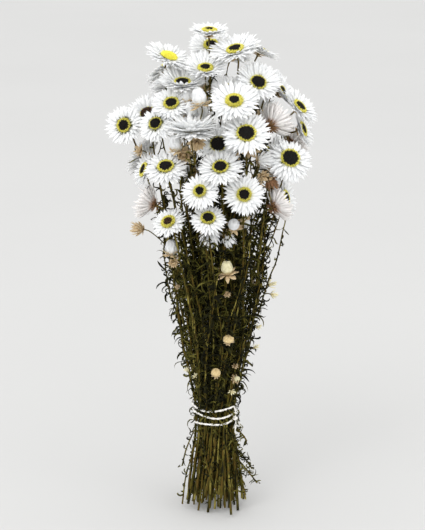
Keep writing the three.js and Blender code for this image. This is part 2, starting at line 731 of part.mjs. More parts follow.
// A stem with its flower's middle: the cup of bracts behind the petals, the neck through them and the disc in front.
function stalkOf(route, { seat, axis, disc }, stemRadius) {
  const { rings, across } = strandRings(route, stemRadius);
  const head = [
    ring(PETALS, [CUP_RADIUS], [-0.5]),
    ring(PETALS, [NECK_RADIUS], [1.45]),
    ring(PETALS, [disc], [DISC_HEIGHT]),
    ring(1, [0], [DISC_HEIGHT + 1.8]),
  ].map((points) => around(seat, axis, across, points));
  return { solid: solidOf(ringedBody([[route[0]], ...rings, ...head])), across };
}

const petalMaterial = new THREE.MeshStandardMaterial({ color: 0xf6f5f1, roughness: 0.75, metalness: 0 });
const stemMaterial = new THREE.MeshStandardMaterial({ color: 0x6a5f2a, roughness: 0.8, metalness: 0 });
const stringMaterial = new THREE.MeshStandardMaterial({ color: 0xebe8e1, roughness: 0.95, metalness: 0 });

const group = new THREE.Group();
const twoDigits = (n) => String(n).padStart(2, "0");

// The petals of a bloom, a little shorter where they would press on another flower or stem.
function fittedPetals(flower, across, thickStalks, otherPetals) {
  const meets = (solid, others) => others.some((other) => !solid.intersect(other).isEmpty());
  for (const share of PETAL_FITS) {
    const radius = flower.radius * share;
    const solid = petalsOf({ ...flower, radius }, across);
    const longer = petalsOf({ ...flower, radius: radius + CLEARANCE }, across);
    if (!meets(solid, [...thickStalks, ...otherPetals]) && !meets(longer, otherPetals)) return solid;
  }
  throw new Error(`flower ${flower.index} is pressed too hard to fit`);
}

const clumps = Array.from({ length: OUTER_CLUMPS + INNER_CLUMPS }, () => []);
const stalks = stems.map(({ route, flower }) => stalkOf(route, flower, STEM_RADIUS));
const thickStalks = stems.map(({ route, flower }) => stalkOf(route, flower, STEM_RADIUS + CLEARANCE).solid);
const petalNodes = [];
stems.forEach(({ clump, member, flower }, i) => {
  const otherStalks = thickStalks.filter((_, k) => k !== i);
  const earlier = petalNodes.map(({ solid }) => solid);
  const solid = fittedPetals(flower, stalks[i].across, otherStalks, earlier);
  petalNodes.push({ name: `petals_${twoDigits(clump + 1)}_${member + 1}`, solid });
  clumps[clump].push(stalks[i].solid);
});
const meetsPetals = (solid) => petalNodes.some((petals) => !solid.intersect(petals.solid).isEmpty());
for (const { clump, solid } of BUDS.map(budOf)) clumps[clump].push(solid);
stems.forEach((stem, i) => clumps[stem.clump].push(...leavesOf(stem, i)));

for (const { name, solid } of petalNodes) group.add(meshOf(name, solid, petalMaterial));
clumps.forEach((solids, clump) => {
  const members = stems.filter((stem) => stem.clump === clump).sort((a, b) => a.member - b.member);
  const solid = fuse([coreOf(members), ...solids]);
  group.add(meshOf(`leafy_stems_${twoDigits(clump + 1)}`, solid, stemMaterial));
});
group.add(meshOf("tie_string", stringSolid(), stringMaterial));

// The bunch stands with its middle over the origin.
const box = new THREE.Box3().setFromObject(group);
const middle = box.getCenter(V(0, 0, 0));
group.position.set(-middle.x, -middle.y, -box.min.z);

export default group;
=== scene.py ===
import math
import random

import bpy
import numpy as np
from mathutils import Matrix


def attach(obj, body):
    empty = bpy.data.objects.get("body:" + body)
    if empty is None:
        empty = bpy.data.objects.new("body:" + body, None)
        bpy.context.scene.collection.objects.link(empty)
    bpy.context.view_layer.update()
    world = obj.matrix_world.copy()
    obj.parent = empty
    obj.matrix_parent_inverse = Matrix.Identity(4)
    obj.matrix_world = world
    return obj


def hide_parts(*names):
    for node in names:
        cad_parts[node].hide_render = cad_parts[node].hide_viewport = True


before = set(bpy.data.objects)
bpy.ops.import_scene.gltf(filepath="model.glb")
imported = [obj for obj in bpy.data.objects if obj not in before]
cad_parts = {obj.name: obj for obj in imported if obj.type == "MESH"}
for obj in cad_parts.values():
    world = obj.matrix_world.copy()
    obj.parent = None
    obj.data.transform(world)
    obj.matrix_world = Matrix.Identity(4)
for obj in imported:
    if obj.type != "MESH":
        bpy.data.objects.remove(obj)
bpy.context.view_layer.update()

bpy.ops.object.select_all(action="DESELECT")

# ---- The viewpoint ------------------------------------------------------------------------------------
# A long lens stands nearly two metres in front of the bunch and a little above the flowers. It looks down
# on them at a slant of fifteen degrees.
CAMERA_PLACE = (0.00104, -1.83745, 0.7607)
LOOKING_DOWN = 15
LENS_MM = 122.94
FILM_MM = 36

bpy.ops.object.camera_add(location=CAMERA_PLACE, rotation=(math.radians(90 - LOOKING_DOWN), 0, 0))
camera = bpy.context.object
camera.data.sensor_fit = "VERTICAL"
camera.data.sensor_height = FILM_MM
camera.data.lens = LENS_MM
bpy.context.scene.camera = camera
bpy.context.scene.view_settings.view_transform = "Standard"


# ---- The table and the studio light -------------------------------------------------------------------
# The bunch stands on a plain pale surface that runs out of sight behind it. The light is soft and comes
# from all round, with one large lamp high on the left, a weaker one on the right and a broad fill in front.
TABLE_ACROSS = 120
SKY_LIGHT = 1.2
LAMP_ACROSS = 1.6
LAMPS = (("high_left_lamp", (-1.0, -1.7, 2.4), 18), ("right_lamp", (1.7, -1.5, 1.9), 9))
LIT_POINT = (0.0, 0.0, 0.3)
FILL_LIGHT = 0.9
FILL_LEAN, FILL_TURN, FILL_SPREAD = math.radians(70), math.radians(-7), math.radians(70)


def new_finish(name, rough, gloss=0.5):
    """A material of this roughness and gloss, with its node tree and its shader."""
    material = bpy.data.materials.new(name)
    material.use_nodes = True
    shader = material.node_tree.nodes["Principled BSDF"]
    shader.inputs["Roughness"].default_value = rough
    shader.inputs["Specular IOR Level"].default_value = gloss
    return material, material.node_tree, shader


def linear(value):
    """A colour value from 0 to 255, as seen on a screen, as the light that it stands for."""
    share = value / 255
    return share / 12.92 if share <= 0.04045 else ((share + 0.055) / 1.055) ** 2.4


def noise_over(tree, coordinate, scale, detail, stretch):
    """Noise over a surface: finer with the scale, and drawn out along an axis by a small stretch."""
    place = tree.nodes.new("ShaderNodeTexCoord")
    mapping = tree.nodes.new("ShaderNodeMapping")
    mapping.inputs["Scale"].default_value = stretch
    noise = tree.nodes.new("ShaderNodeTexNoise")
    noise.inputs["Scale"].default_value = scale
    noise.inputs["Detail"].default_value = detail
    tree.links.new(place.outputs[coordinate], mapping.inputs["Vector"])
    tree.links.new(mapping.outputs["Vector"], noise.inputs["Vector"])
    return noise.outputs["Fac"]


def drifting_colour(tree, coordinate, scale, stops, detail=3.0, stretch=(1, 1, 1)):
    """A colour that drifts between the stops over the surface, as a ramp fed by noise."""
    ramp = tree.nodes.new("ShaderNodeValToRGB")
    tree.links.new(noise_over(tree, coordinate, scale, detail, stretch), ramp.inputs["Fac"])
    while len(ramp.color_ramp.elements) < len(stops):
        ramp.color_ramp.elements.new(0.5)
    for element, (position, colour) in zip(ramp.color_ramp.elements, stops):
        element.position = position
        element.color = (*(linear(value) for value in colour), 1)
    return ramp.outputs["Color"]


def drifting_finish(name, rough, gloss, scale, stops, detail=3.0, stretch=(1, 1, 1)):
    """A finish with a colour that drifts over the whole piece."""
    material, tree, shader = new_finish(name, rough, gloss)
    colour = drifting_colour(tree, "Object", scale, stops, detail, stretch)
    tree.links.new(colour, shader.inputs["Base Color"])
    return material, tree, shader


table_paint, _, _ = drifting_finish("pale_table_paint", 0.9, 0.5, 1.5,
                                    [(0.3, (195, 195, 194)), (0.7, (197, 197, 196))])
bpy.ops.mesh.primitive_plane_add(size=TABLE_ACROSS)
table = bpy.context.object
table.name = "pale_table"
table.data.materials.append(table_paint)

sky = bpy.data.worlds.new("soft_studio")
sky.use_nodes = True
sky.node_tree.nodes["Background"].inputs["Color"].default_value = (1, 1, 1, 1)
sky.node_tree.nodes["Background"].inputs["Strength"].default_value = SKY_LIGHT
bpy.context.scene.world = sky

for name, place, power in LAMPS:
    bpy.ops.object.light_add(type="AREA", location=place)
    lamp = bpy.context.object
    lamp.name = name
    lamp.data.size = LAMP_ACROSS
    lamp.data.energy = power
    aim = np.array(LIT_POINT) - np.array(place)
    lean = math.atan2(math.hypot(aim[0], aim[1]), -aim[2])
    lamp.rotation_euler = (lean, 0, math.atan2(-aim[0], aim[1]))

bpy.ops.object.light_add(type="SUN", rotation=(FILL_LEAN, 0, FILL_TURN))
fill = bpy.context.object
fill.name = "front_fill"
fill.data.energy = FILL_LIGHT
fill.data.angle = FILL_SPREAD


# ---- The stems ----------------------------------------------------------------------------------------
# Each flower has its own stem, thin, ribbed and dried to olive brown. It comes up from its cut end through
# the string, spirals and spreads with its neighbours, and arches over into the back of the flower.
CLUMPS, CLUMP_STEMS, CLUMP_REACH = 12, 4, 0.0035
OUTER_CLUMPS, OUTER_RADIUS = 9, 0.0158
INNER_CLUMPS, INNER_RADIUS = 3, 0.0055
TIE = 0.105
WAIST = 0.008
FLARE_UP, FLARE_DOWN = 11.5, 6.6
TWIST = 3.5
FREE_FROM = 0.195
SHIFT = np.array((0.0036389, -0.0024506, 0.0))
CUT_ENDS = (0.001, 0.005, 0.012, 0.018)
SOLID_STEM = 0.003
NECK, NECK_BEND = 0.011, 0.026
UNDER_HEAD, IN_HEAD = 0.0045, 0.0005
MISSED_BY = 0.0065


def flare(rise):
    """How far the stems have spread at this height over the string, where it is 1."""
    return 1 + (FLARE_UP if rise > 0 else FLARE_DOWN) * (math.hypot(rise, WAIST) - WAIST)


def in_bundle(clump, member, z):
    """Where a stem of a clump runs at this height, as in the solid bunch."""
    if clump < OUTER_CLUMPS:
        radius, share = OUTER_RADIUS, (clump + 0.5) / OUTER_CLUMPS
    else:
        radius, share = INNER_RADIUS, (clump - OUTER_CLUMPS + 0.5) / INNER_CLUMPS
    turn = share * 2 * math.pi - math.pi - TWIST * (FREE_FROM - z)
    own = turn + member / CLUMP_STEMS * 2 * math.pi
    x = radius * math.cos(turn) + CLUMP_REACH * math.cos(own)
    y = radius * math.sin(turn) + CLUMP_REACH * math.sin(own)
    spread = flare(z - TIE)
    return np.array((x * spread, y * spread, z)) + SHIFT


def welded(node):
    """A solid's corners, each once, and its triangles."""
    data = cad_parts[node].data
    corners = np.empty(len(data.vertices) * 3)
    data.vertices.foreach_get("co", corners)
    loops = np.empty(len(data.loops), dtype=int)
    data.loops.foreach_get("vertex_index", loops)
    points, where = np.unique(np.round(corners.reshape(-1, 3), 7), axis=0, return_inverse=True)
    return points, where.reshape(-1)[loops].reshape(-1, 3)


RING_CORNERS = 8
RIM_BAND = 1e-4
DISC_GAP, DISC_LEAST, DISC_SHARE = 0.00045, 0.0046, 0.15
TIP_SHARE = 0.95
RAGGED_REACH = 1.03


def bloom_of(node):
    """The seat, axis, reach, cup and disc of a flower, from its solid petals and their innermost rings."""
    points, _ = welded(node)
    middle = points.mean(axis=0)
    _, sizes, axes = np.linalg.svd(points - middle, full_matrices=False)
    axis = axes[0] if sizes[0] - sizes[1] > sizes[1] - sizes[2] else axes[2]
    heights = (points - middle) @ axis
    flat = np.linalg.norm(points - middle - np.outer(heights, axis), axis=1)
    neck, hole, rim = np.argsort(flat)[:3 * RING_CORNERS].reshape(3, RING_CORNERS)
    if heights[neck].mean() < heights[hole].mean():
        axis, heights = -axis, -heights
    seat = middle + axis * heights[hole].mean()
    reach = flat.max()
    tip = heights[flat > reach - RIM_BAND].mean() - heights[hole].mean()
    disc = flat[rim].mean() - DISC_GAP
    full = (disc - DISC_LEAST) / DISC_SHARE
    return {"seat": seat, "axis": axis, "reach": max(reach, full) * RAGGED_REACH, "disc": disc,
            "cup": math.atan2(tip / TIP_SHARE, reach)}


SAME_LENGTH, SAME_PLACE, SQUARE = 2.5e-5, 2e-5, 0.03


def ring_chains(points, triangles, diagonal):
    """Middles of the four-cornered rings of this size in a solid, and which of them follow each other."""
    apart = np.linalg.norm(points[:, None] - points[None], axis=2)
    first, second = np.where(np.triu(np.abs(apart - diagonal) < SAME_LENGTH))
    middles = (points[first] + points[second]) / 2
    ways = points[second] - points[first]
    rings, corners = [], []
    for i in range(len(first)):
        near = np.linalg.norm(middles[i + 1:] - middles[i], axis=1) < SAME_PLACE
        for j in np.where(near)[0] + i + 1:
            if abs(ways[i] @ ways[j]) < SQUARE * diagonal ** 2:
                rings.append(middles[i])
                corners.append({first[i], second[i], first[j], second[j]})
    owner = {corner: k for k, four in enumerate(corners) for corner in four}
    follows = [set() for _ in rings]
    for a, b, c in triangles:
        for p, q in ((a, b), (b, c), (c, a)):
            if p in owner and q in owner and owner[p] != owner[q]:
                follows[owner[p]].add(owner[q])
                follows[owner[q]].add(owner[p])
    return np.array(rings).reshape(-1, 3), follows


def smooth_line(points, step):
    """Points every step or so along a soft curve through the given ones."""
    points = [np.asarray(p, dtype=float) for p in points]
    padded = [2 * points[0] - points[1], *points, 2 * points[-1] - points[-2]]
    line = []
    for a, b, c, d in zip(padded, padded[1:], padded[2:], padded[3:]):
        runs = max(1, round(np.linalg.norm(c - b) / step))
        for k in range(runs):
            t = k / runs
            line.append(0.5 * (2 * b + (c - a) * t + (2 * a - 5 * b + 4 * c - d) * t * t
                               + (3 * b - a - 3 * c + d) * t ** 3))
    return np.array([*line, points[-1]])


def route_of(clump, member, bloom, rings, follows):
    """A stem's line: in the bundle by its place there, then by the solid's own rings up to the flower."""
    foot = CUT_ENDS[(clump + 2 * member) % len(CUT_ENDS)]
    low = [in_bundle(clump, member, z) for z in (foot, TIE - WAIST, TIE + WAIST, FREE_FROM)]
    axis, seat = bloom["axis"], bloom["seat"]
    route = [*low]
    if len(rings):
        here = int(np.argmin(np.linalg.norm(rings - low[-1], axis=1)))
        past = {here}
        while True:
            onward = [k for k in follows[here] if k not in past and rings[k][2] > FREE_FROM + 0.002]
            if not onward:
                break
            here = max(onward, key=lambda k: np.linalg.norm(rings[k] - low[-1]))
            past.add(here)
            route.append(rings[here])
    if len(route) < len(low) + 2 or np.linalg.norm(route[-1] - seat) > MISSED_BY:
        # The rings are hidden in the solid, so the stem leaves the bundle straight and bends to the flower.
        start, along = low[-1], low[-1] - low[-2]
        far = np.linalg.norm(seat - start)
        one = start + along / np.linalg.norm(along) * 0.35 * far
        two = seat - axis * (NECK + min(NECK_BEND, 0.3 * far))
        end = seat - axis * NECK
        bend = [(1 - t) ** 3 * start + 3 * t * (1 - t) ** 2 * one + 3 * t * t * (1 - t) * two + t ** 3 * end
                for t in (0.2, 0.4, 0.6, 0.8, 1.0)]
        route = [*low, *bend, seat - axis * UNDER_HEAD]
    return [*route, seat - axis * IN_HEAD]


def sway_of(line, most):
    """A small step sideways for each point of a line."""
    return np.array([[draws.uniform(-1, 1), draws.uniform(-1, 1), 0] for _ in line]) * most


def strands(name, lines, widths, roundness=2, profile=None, twist=None):
    """Thin bodies along lines, as one mesh: each point of a line has its own half-width."""
    curve = bpy.data.curves.new(name, "CURVE")
    curve.dimensions = "3D"
    curve.fill_mode = "FULL"
    curve.use_fill_caps = True
    if profile:
        curve.bevel_mode = "OBJECT"
        curve.bevel_object = profile
    else:
        curve.bevel_depth = 1.0
        curve.bevel_resolution = roundness
    for i, (line, width) in enumerate(zip(lines, widths)):
        spline = curve.splines.new("POLY")
        spline.points.add(len(line) - 1)
        spline.points.foreach_set("co", np.column_stack((line, np.ones(len(line)))).ravel())
        spline.points.foreach_set("radius", np.asarray(width, dtype=float))
        if twist is not None:
            spline.points.foreach_set("tilt", np.asarray(twist[i], dtype=float))
    body = bpy.data.objects.new(name, curve)
    bpy.context.collection.objects.link(body)
    bpy.ops.object.select_all(action="DESELECT")
    body.select_set(True)
    bpy.context.view_layer.objects.active = body
    bpy.ops.object.convert(target="MESH")
    body = bpy.context.object
    bpy.ops.object.shade_smooth()
    body.select_set(False)
    return body


def roughened(tree, shader, coordinate, scale, depth, stretch=(1, 1, 1)):
    """A fine grain that tilts the surface by a bump of this depth."""
    bump = tree.nodes.new("ShaderNodeBump")
    bump.inputs["Strength"].default_value = 0.6
    bump.inputs["Distance"].default_value = depth
    tree.links.new(noise_over(tree, coordinate, scale, 4.0, stretch), bump.inputs["Height"])
    tree.links.new(bump.outputs["Normal"], shader.inputs["Normal"])


stem_paint, tree, shader = drifting_finish("dried_stem", 0.82, 0.15, 260, [
    (0.3, (10, 9, 3)), (0.4, (42, 39, 11)), (0.46, (84, 78, 24)), (0.52, (88, 68, 24)), (0.58, (52, 50, 12)),
    (0.66, (150, 138, 68)), (0.75, (20, 17, 6)),
], 3.0, (1, 1, 0.045))
roughened(tree, shader, "Object", 900, 0.0003, (1, 1, 0.06))

STEM_STEP, STEM_SWAY = 0.009, 0.0005
STEM_HALVES = (0.0011, 0.00155)
THINNING, THIN_AT = 0.45, 0.42
UNEVEN = 0.00009
NECK_HALF, HEAD_HALF = 0.0009, 0.0022
draws = random.Random(11)
blooms = {name: bloom_of(name) for name in sorted(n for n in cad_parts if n.startswith("petals_"))}
stems = []

for clump in range(CLUMPS):
    node = f"leafy_stems_{clump + 1:02d}"
    rings, follows = ring_chains(*welded(node), SOLID_STEM)
    lines, widths = [], []
    for member in range(CLUMP_STEMS):
        flower = f"petals_{clump + 1:02d}_{member + 1}"
        if flower not in blooms:
            continue
        line = smooth_line(route_of(clump, member, blooms[flower], rings, follows), STEM_STEP)
        sway = sway_of(line, STEM_SWAY)
        sway[-3:] = 0
        line = line + sway
        height = np.clip(line[:, 2] / THIN_AT, 0, 1)
        width = draws.uniform(*STEM_HALVES) * (1 - THINNING * height)
        width += np.array([draws.uniform(-UNEVEN, UNEVEN) for _ in line])
        width[-2:] = NECK_HALF, HEAD_HALF
        stems.append({"clump": clump, "line": line, "flower": flower})
        lines.append(line)
        widths.append(width)
    body = strands(f"stems_{clump + 1:02d}", lines, widths)
    body.data.materials.append(stem_paint)
    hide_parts(node)
    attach(body, "root")


# ---- Broken stems -------------------------------------------------------------------------------------
# Between the flowering stems run thinner ones that lost their heads. They are held by the same string and
# end at different heights, below as well as above, and a few have slipped out at the sides.
BROKEN = 56
BETWEEN_CLUMPS, IN_THE_MIDDLE, OUTERMOST = (0.0088, 0.0125), (0.0, 0.008), 0.0205
BROKEN_FEET, BROKEN_TOPS = (0.002, 0.026), (0.24, 0.41)
MOST_SPREAD = 2.6
PRESSED_IN, PRESSED_NEAR = 0.88, 0.03
LOOSE_FEET, LOOSE_UNDER = 0.09, 0.02
SWINGS, WAVES, BROKEN_SWAY = (0.0004, 0.0022), (40, 90), 0.0006
BROKEN_HALVES, BROKEN_TIP = (0.0009, 0.0014), 0.0005
TWIG_TIP, TWIG_FOOT = 0.0006, 0.0009
# The strayed twigs, point by point in millimetres.
STRAYED = (
    ((67, -30, 331), (59, -28, 305), (50, -20, 279), (43, -15, 235)),
    ((72, -28, 329), (72, -26, 321), (70, -24, 312), (64, -18, 279), (56, -14, 257), (45, -10, 217)),
    ((16, -14, 112), (24, -15, 92), (31, -16, 84), (34, -18, 79)),
    ((16, -14, 92), (25, -15, 58), (33, -16, 12)),
    ((14, -14, 88), (22, -12, 62), (33, -12, 46), (45, -12, 30)),
    ((18, -10, 74), (30, -10, 60), (40, -8, 44)),
    ((-22, -12, 90), (-31, -14, 68), (-35, -14, 50)),
    ((-20, -14, 78), (-31, -18, 40), (-35, -22, 9)),
    ((-14, -24, 92), (-9, -28, 58), (3, -31, 24)),
)


def broken_line(k):
    """A stem without a head: it goes round with the others, and its foot strays a little."""
    place = draws.uniform(0, 2 * math.pi)
    apart = draws.uniform(*BETWEEN_CLUMPS) if k % 3 else draws.uniform(*IN_THE_MIDDLE)
    if k % 5 == 0:
        apart = OUTERMOST
    top = draws.uniform(*BROKEN_TOPS)
    stray = draws.uniform(-1, 1), draws.uniform(-1, 1)
    points = []
    for z in np.linspace(draws.uniform(*BROKEN_FEET), top, 10):
        rise = z - TIE
        spread = min(flare(rise), MOST_SPREAD)
        turn = place + TWIST * rise
        keep = apart * (PRESSED_IN if apart == OUTERMOST and abs(rise) < PRESSED_NEAR else 1)
        out = LOOSE_FEET * max(-rise - LOOSE_UNDER, 0)
        points.append(np.array((keep * math.cos(turn) * spread + out * stray[0],
                                keep * math.sin(turn) * spread + out * stray[1], z)) + SHIFT)
    return smooth_line(points, 0.01)


broken_lines = [broken_line(k) for k in range(BROKEN)]
for line in broken_lines:
    swing, start = draws.uniform(*SWINGS), draws.uniform(0, 6.3)
    line[:, 0] += swing * np.sin(line[:, 2] * draws.uniform(*WAVES) + start)
    line[:, 1] += swing * np.sin(line[:, 2] * draws.uniform(*WAVES) + start * 2)
    line += sway_of(line, BROKEN_SWAY)
strayed = [smooth_line([np.array(p) / 1000 + SHIFT for p in points], 0.008) for points in STRAYED]
widths = [np.linspace(draws.uniform(*BROKEN_HALVES), BROKEN_TIP, len(line)) for line in broken_lines]
widths += [np.linspace(TWIG_TIP, TWIG_FOOT, len(line)) for line in strayed]
broken = strands("broken_stems", broken_lines + strayed, widths, roundness=1)
broken.data.materials.append(stem_paint)
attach(broken, "root")


# ---- The leaves ---------------------------------------------------------------------------------------
# Narrow leaves sit all the way up the stems. They have dried to thin olive strips that curl, twist and
# tangle, thickest between the string and the flowers, with a few scraps left under the string.
LEAF_FOLD = ((-1, 0.4), (0, -0.34), (1, 0.4), (0, 0.2))
LEAF_TAPER = np.array((0.6, 1.0, 1.0, 1.0, 0.9, 0.65, 0.15))
LEAF_HALF, INNER_LEAF_HALF, TWIG_LEAF_HALF = 0.0009, 0.001, 0.00085
LEAF_WIDTHS, LEAF_TWIST = (0.7, 1.3), 2.5
LEAF_ALONG, LEAF_OUTWARD, LEAF_CURLS = (0.3, 1.4), (0.4, 1.3), (0.3, 1.35)
LEAF_DROOP, LEAF_WANDER = np.array((0, 0, -0.05)), 0.45
BARE_NECK = 0.02
# Each row: lowest and highest root, how far apart the leaves are, and the shortest and longest leaf.
STEM_LEAVES = (
    (0.2, 0.33, 0.0026, (0.007, 0.023)),
    (0.33, math.inf, 0.0065, (0.007, 0.018)),
    (0.088, 0.2, 0.0029, (0.008, 0.023)),
    (0.006, 0.088, 0.011, (0.006, 0.016)),
)
BROKEN_LEAVES = ((0.115, 0.42, 0.0029, (0.009, 0.02)), (0.03, 0.115, 0.012, (0.008, 0.016)))
SIDE_TWIG_LEAVES = (0, math.inf, 0.006, (0.006, 0.012))
BUSHY_LEAVES = (0.018, math.inf, 0.0017, (0.006, 0.016))
SPARSE_LEAVES = (0.018, math.inf, 0.0045, (0.005, 0.012))


def leaf_profile():
    """The cross-section of a leaf: a shallow fold, wider than it is thick."""
    curve = bpy.data.curves.new("leaf_fold", "CURVE")
    curve.dimensions = "2D"
    spline = curve.splines.new("POLY")
    spline.points.add(len(LEAF_FOLD) - 1)
    for point, (x, y) in zip(spline.points, LEAF_FOLD):
        point.co = (x, y, 0, 1)
    spline.use_cyclic_u = True
    made = bpy.data.objects.new("leaf_fold", curve)
    bpy.context.collection.objects.link(made)
    return made


def unit(vector):
    """A vector's direction."""
    return vector / max(np.linalg.norm(vector), 1e-12)


def any_way():
    """Three draws that point no way in particular."""
    return np.array([draws.gauss(0, 1) for _ in range(3)])


def leaf_line(root, along, length):
    """A dry leaf's line from its root: out from the stem, then wherever it curled as it dried."""
    steps = len(LEAF_TAPER) - 1
    outward = unit(np.array((draws.gauss(0, 1), draws.gauss(0, 1), 0.0)))
    heading = unit(along * draws.uniform(*LEAF_ALONG) + outward * draws.uniform(*LEAF_OUTWARD))
    bend = unit(any_way())
    curl = draws.uniform(*LEAF_CURLS)
    line = [root]
    for _ in range(steps):
        heading = unit(heading + np.cross(bend, heading) * curl + LEAF_DROOP)
        bend = unit(bend + LEAF_WANDER * any_way())
        line.append(line[-1] + heading * length / steps)
    return np.array(line)


def leaves_on(line, start, stop, every, lengths):
    """Leaves up one stem between two heights."""
    found = []
    runs = np.linalg.norm(np.diff(line, axis=0), axis=1)
    reach = np.concatenate(([0], np.cumsum(runs)))
    place = draws.uniform(0, every)
    while place < reach[-1]:
        k = min(int(np.searchsorted(reach, place)), len(line) - 1)
        share = (place - reach[k - 1]) / max(runs[k - 1], 1e-9) if k else 0
        root = line[k - 1] + (line[k] - line[k - 1]) * share if k else line[0]
        if start < root[2] < stop:
            found.append(leaf_line(root, unit(line[k] - line[k - 1]), draws.uniform(*lengths)))
        place += every * draws.uniform(0.5, 1.5)
    return found


def leaf_finish(name, stops):
    """Dull dried leaf, with a colour that drifts from leaf to leaf."""
    material, tree, shader = drifting_finish(name, 0.85, 0.12, 110, stops, 2.0)
    roughened(tree, shader, "Object", 1400, 0.0001)
    return material


leaf_paint = leaf_finish("dried_leaf", [
    (0.28, (15, 15, 5)), (0.42, (38, 38, 11)), (0.54, (66, 64, 20)), (0.66, (112, 106, 50)),
    (0.82, (42, 39, 12)),
])
# The leaves of the broken stems, deep inside the bunch, are painted near black: painted shade for the dark
# inside of the bunch.
inner_shade_paint = leaf_finish("painted_shade_leaf", [(0.3, (10, 11, 4)), (0.5, (24, 24, 8)), (0.7, (46, 46, 17))])
fold = leaf_profile()


def leaf_mesh(name, lines, half_width, node=None, paint=leaf_paint):
    """Makes one piece of all the leaves along these lines."""
    widths = [LEAF_TAPER * half_width * draws.uniform(*LEAF_WIDTHS) for _ in lines]
    twist = [np.linspace(0, draws.uniform(-LEAF_TWIST, LEAF_TWIST), len(LEAF_TAPER)) + draws.uniform(0, 6.3)
             for _ in lines]
    body = strands(name, lines, widths, profile=fold, twist=twist)
    body.data.materials.append(paint)
    if node:
        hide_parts(node)
    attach(body, "root")


for clump in range(CLUMPS):
    lines = []
    for stem in (s for s in stems if s["clump"] == clump):
        top = blooms[stem["flower"]]["seat"][2] - BARE_NECK
        for low, high, every, lengths in STEM_LEAVES:
            lines += leaves_on(stem["line"], low, min(top, high), every, lengths)
    leaf_mesh(f"leaves_{clump + 1:02d}", lines, LEAF_HALF, f"leafy_stems_{clump + 1:02d}")

# The leaves of the broken stems take the near-black paint, which is painted shade.
for half in range(2):
    lines = []
    for line in broken_lines[half::2]:
        for zone in BROKEN_LEAVES:
            lines += leaves_on(line, *zone)
    leaf_mesh(f"leaves_of_broken_stems_{half + 1}", lines, INNER_LEAF_HALF, paint=inner_shade_paint)

lines = []
zones = [SIDE_TWIG_LEAVES] * 2 + [BUSHY_LEAVES] * 4 + [SPARSE_LEAVES] * 3
for line, zone in zip(strayed, zones):
    lines += leaves_on(line, *zone)
leaf_mesh("leaves_of_strayed_stems", lines, TWIG_LEAF_HALF)
bpy.data.objects.remove(fold)


# ---- The petals ---------------------------------------------------------------------------------------
# What looks like petals are dry, papery bracts in five layers round the disc, each one narrow, pointed and
# lightly ribbed. The outer ones lie flat or turn back, the inner ones stand up against the disc. Behind
# them sit a few short tan bracts, and on a spent flower a ruff of brown ones.
PETAL_SKIN = 0.00022
ROOT_WIDTH, SWELL, POINT = 0.42, 0.58, 0.96
WIDEST_AT, TIP_PART = 0.62, 0.38
PETAL_SHIFT, LIFT_VARIES, ROOT_VARIES = 0.28, 0.05, 0.0004
PETAL_LENGTHS, PETAL_WIDTHS, PETAL_TIPS = (0.87, 1.02), (0.85, 1.15), (1.15, 1.9)
CURL_VARIES, ROLL_VARIES, PETAL_FOLDS = 0.1, 0.1, (-0.05, 0.28)
# Each layer: number of petals, length as a share of the reach, lift over the flower's cup, root as a share
# of the disc, height of the root, and width as a share of the reach.
WHITE_LAYERS = (
    (27, 1.0, -0.05, 0.30, 0.0008, 0.155),
    (27, 1.02, 0.02, 0.42, 0.0013, 0.155),
    (24, 0.96, 0.09, 0.58, 0.0019, 0.15),
    (20, 0.84, 0.16, 0.76, 0.0025, 0.14),
    (15, 0.67, 0.24, 0.9, 0.0031, 0.12),
)
HALF_OPEN_LAYERS = (
    (25, 1.0, -0.14, 0.30, 0.0008, 0.2),
    (25, 1.02, 0.0, 0.42, 0.0013, 0.2),
    (24, 0.96, 0.14, 0.58, 0.0019, 0.2),
    (20, 0.86, 0.3, 0.76, 0.0025, 0.18),
    (16, 0.7, 0.46, 0.9, 0.0031, 0.14),
)
FULL_LAYERS = (
    (24, 0.85, -0.6, 0.30, 0.0008, 0.25),
    (24, 1.02, -0.36, 0.42, 0.0013, 0.25),
    (24, 1.12, -0.12, 0.58, 0.0019, 0.25),
    (24, 1.08, 0.1, 0.7, 0.0024, 0.24),
    (22, 1.0, 0.34, 0.85, 0.0029, 0.22),
)
BRACT_LAYERS = (
    (9, 0.34, -0.05, 0.12, -0.0012, 0.15),
    (8, 0.25, -0.35, 0.10, -0.0022, 0.15),
)
SPENT_BRACT_LAYERS = (
    (13, 0.52, 0.35, 0.12, -0.0012, 0.09),
    (12, 0.42, -0.2, 0.10, -0.0020, 0.09),
    (8, 0.28, -0.8, 0.08, -0.0030, 0.10),
)
SPENT = ("petals_05_3", "petals_05_1", "petals_01_1", "petals_07_4")
LAYERS_OF = {"petals_10_1": HALF_OPEN_LAYERS, "petals_12_1": HALF_OPEN_LAYERS, "petals_03_3": FULL_LAYERS}
FRESH_LOOK = {"unruly": 1.0, "curl": 0.0}
SPENT_LOOK = {"unruly": 1.9, "curl": 0.4}
BRACT_LOOK = {"unruly": 1.0, "curl": 0.2}


def flat_petal(columns, rows):
    """One petal, flat: x across from -1 to 1, y along from 0 to 1, z for its two faces."""
    bpy.ops.object.select_all(action="DESELECT")
    bpy.ops.mesh.primitive_grid_add(x_subdivisions=columns, y_subdivisions=rows, size=2)
    petal = bpy.context.object
    bpy.ops.object.mode_set(mode="EDIT")
    bpy.ops.transform.resize(value=(1, 0.5, 1))
    bpy.ops.transform.translate(value=(0, 0.5, 0))
    bpy.ops.object.mode_set(mode="OBJECT")
    bpy.ops.object.transform_apply(location=True, rotation=True, scale=True)
    wall = petal.modifiers.new("two_faces", "SOLIDIFY")
    wall.thickness = 1.0
    wall.offset = 0
    bpy.ops.object.modifier_apply(modifier=wall.name)
    return shape_of(petal)


def shape_of(model):
    """The corners and faces of a model, which is then taken away."""
    spots = np.array([v.co[:] for v in model.data.vertices])
    faces = [tuple(p.vertices) for p in model.data.polygons]
    bpy.data.objects.remove(model)
    return spots, faces


petal_spots, petal_faces = flat_petal(2, 7)


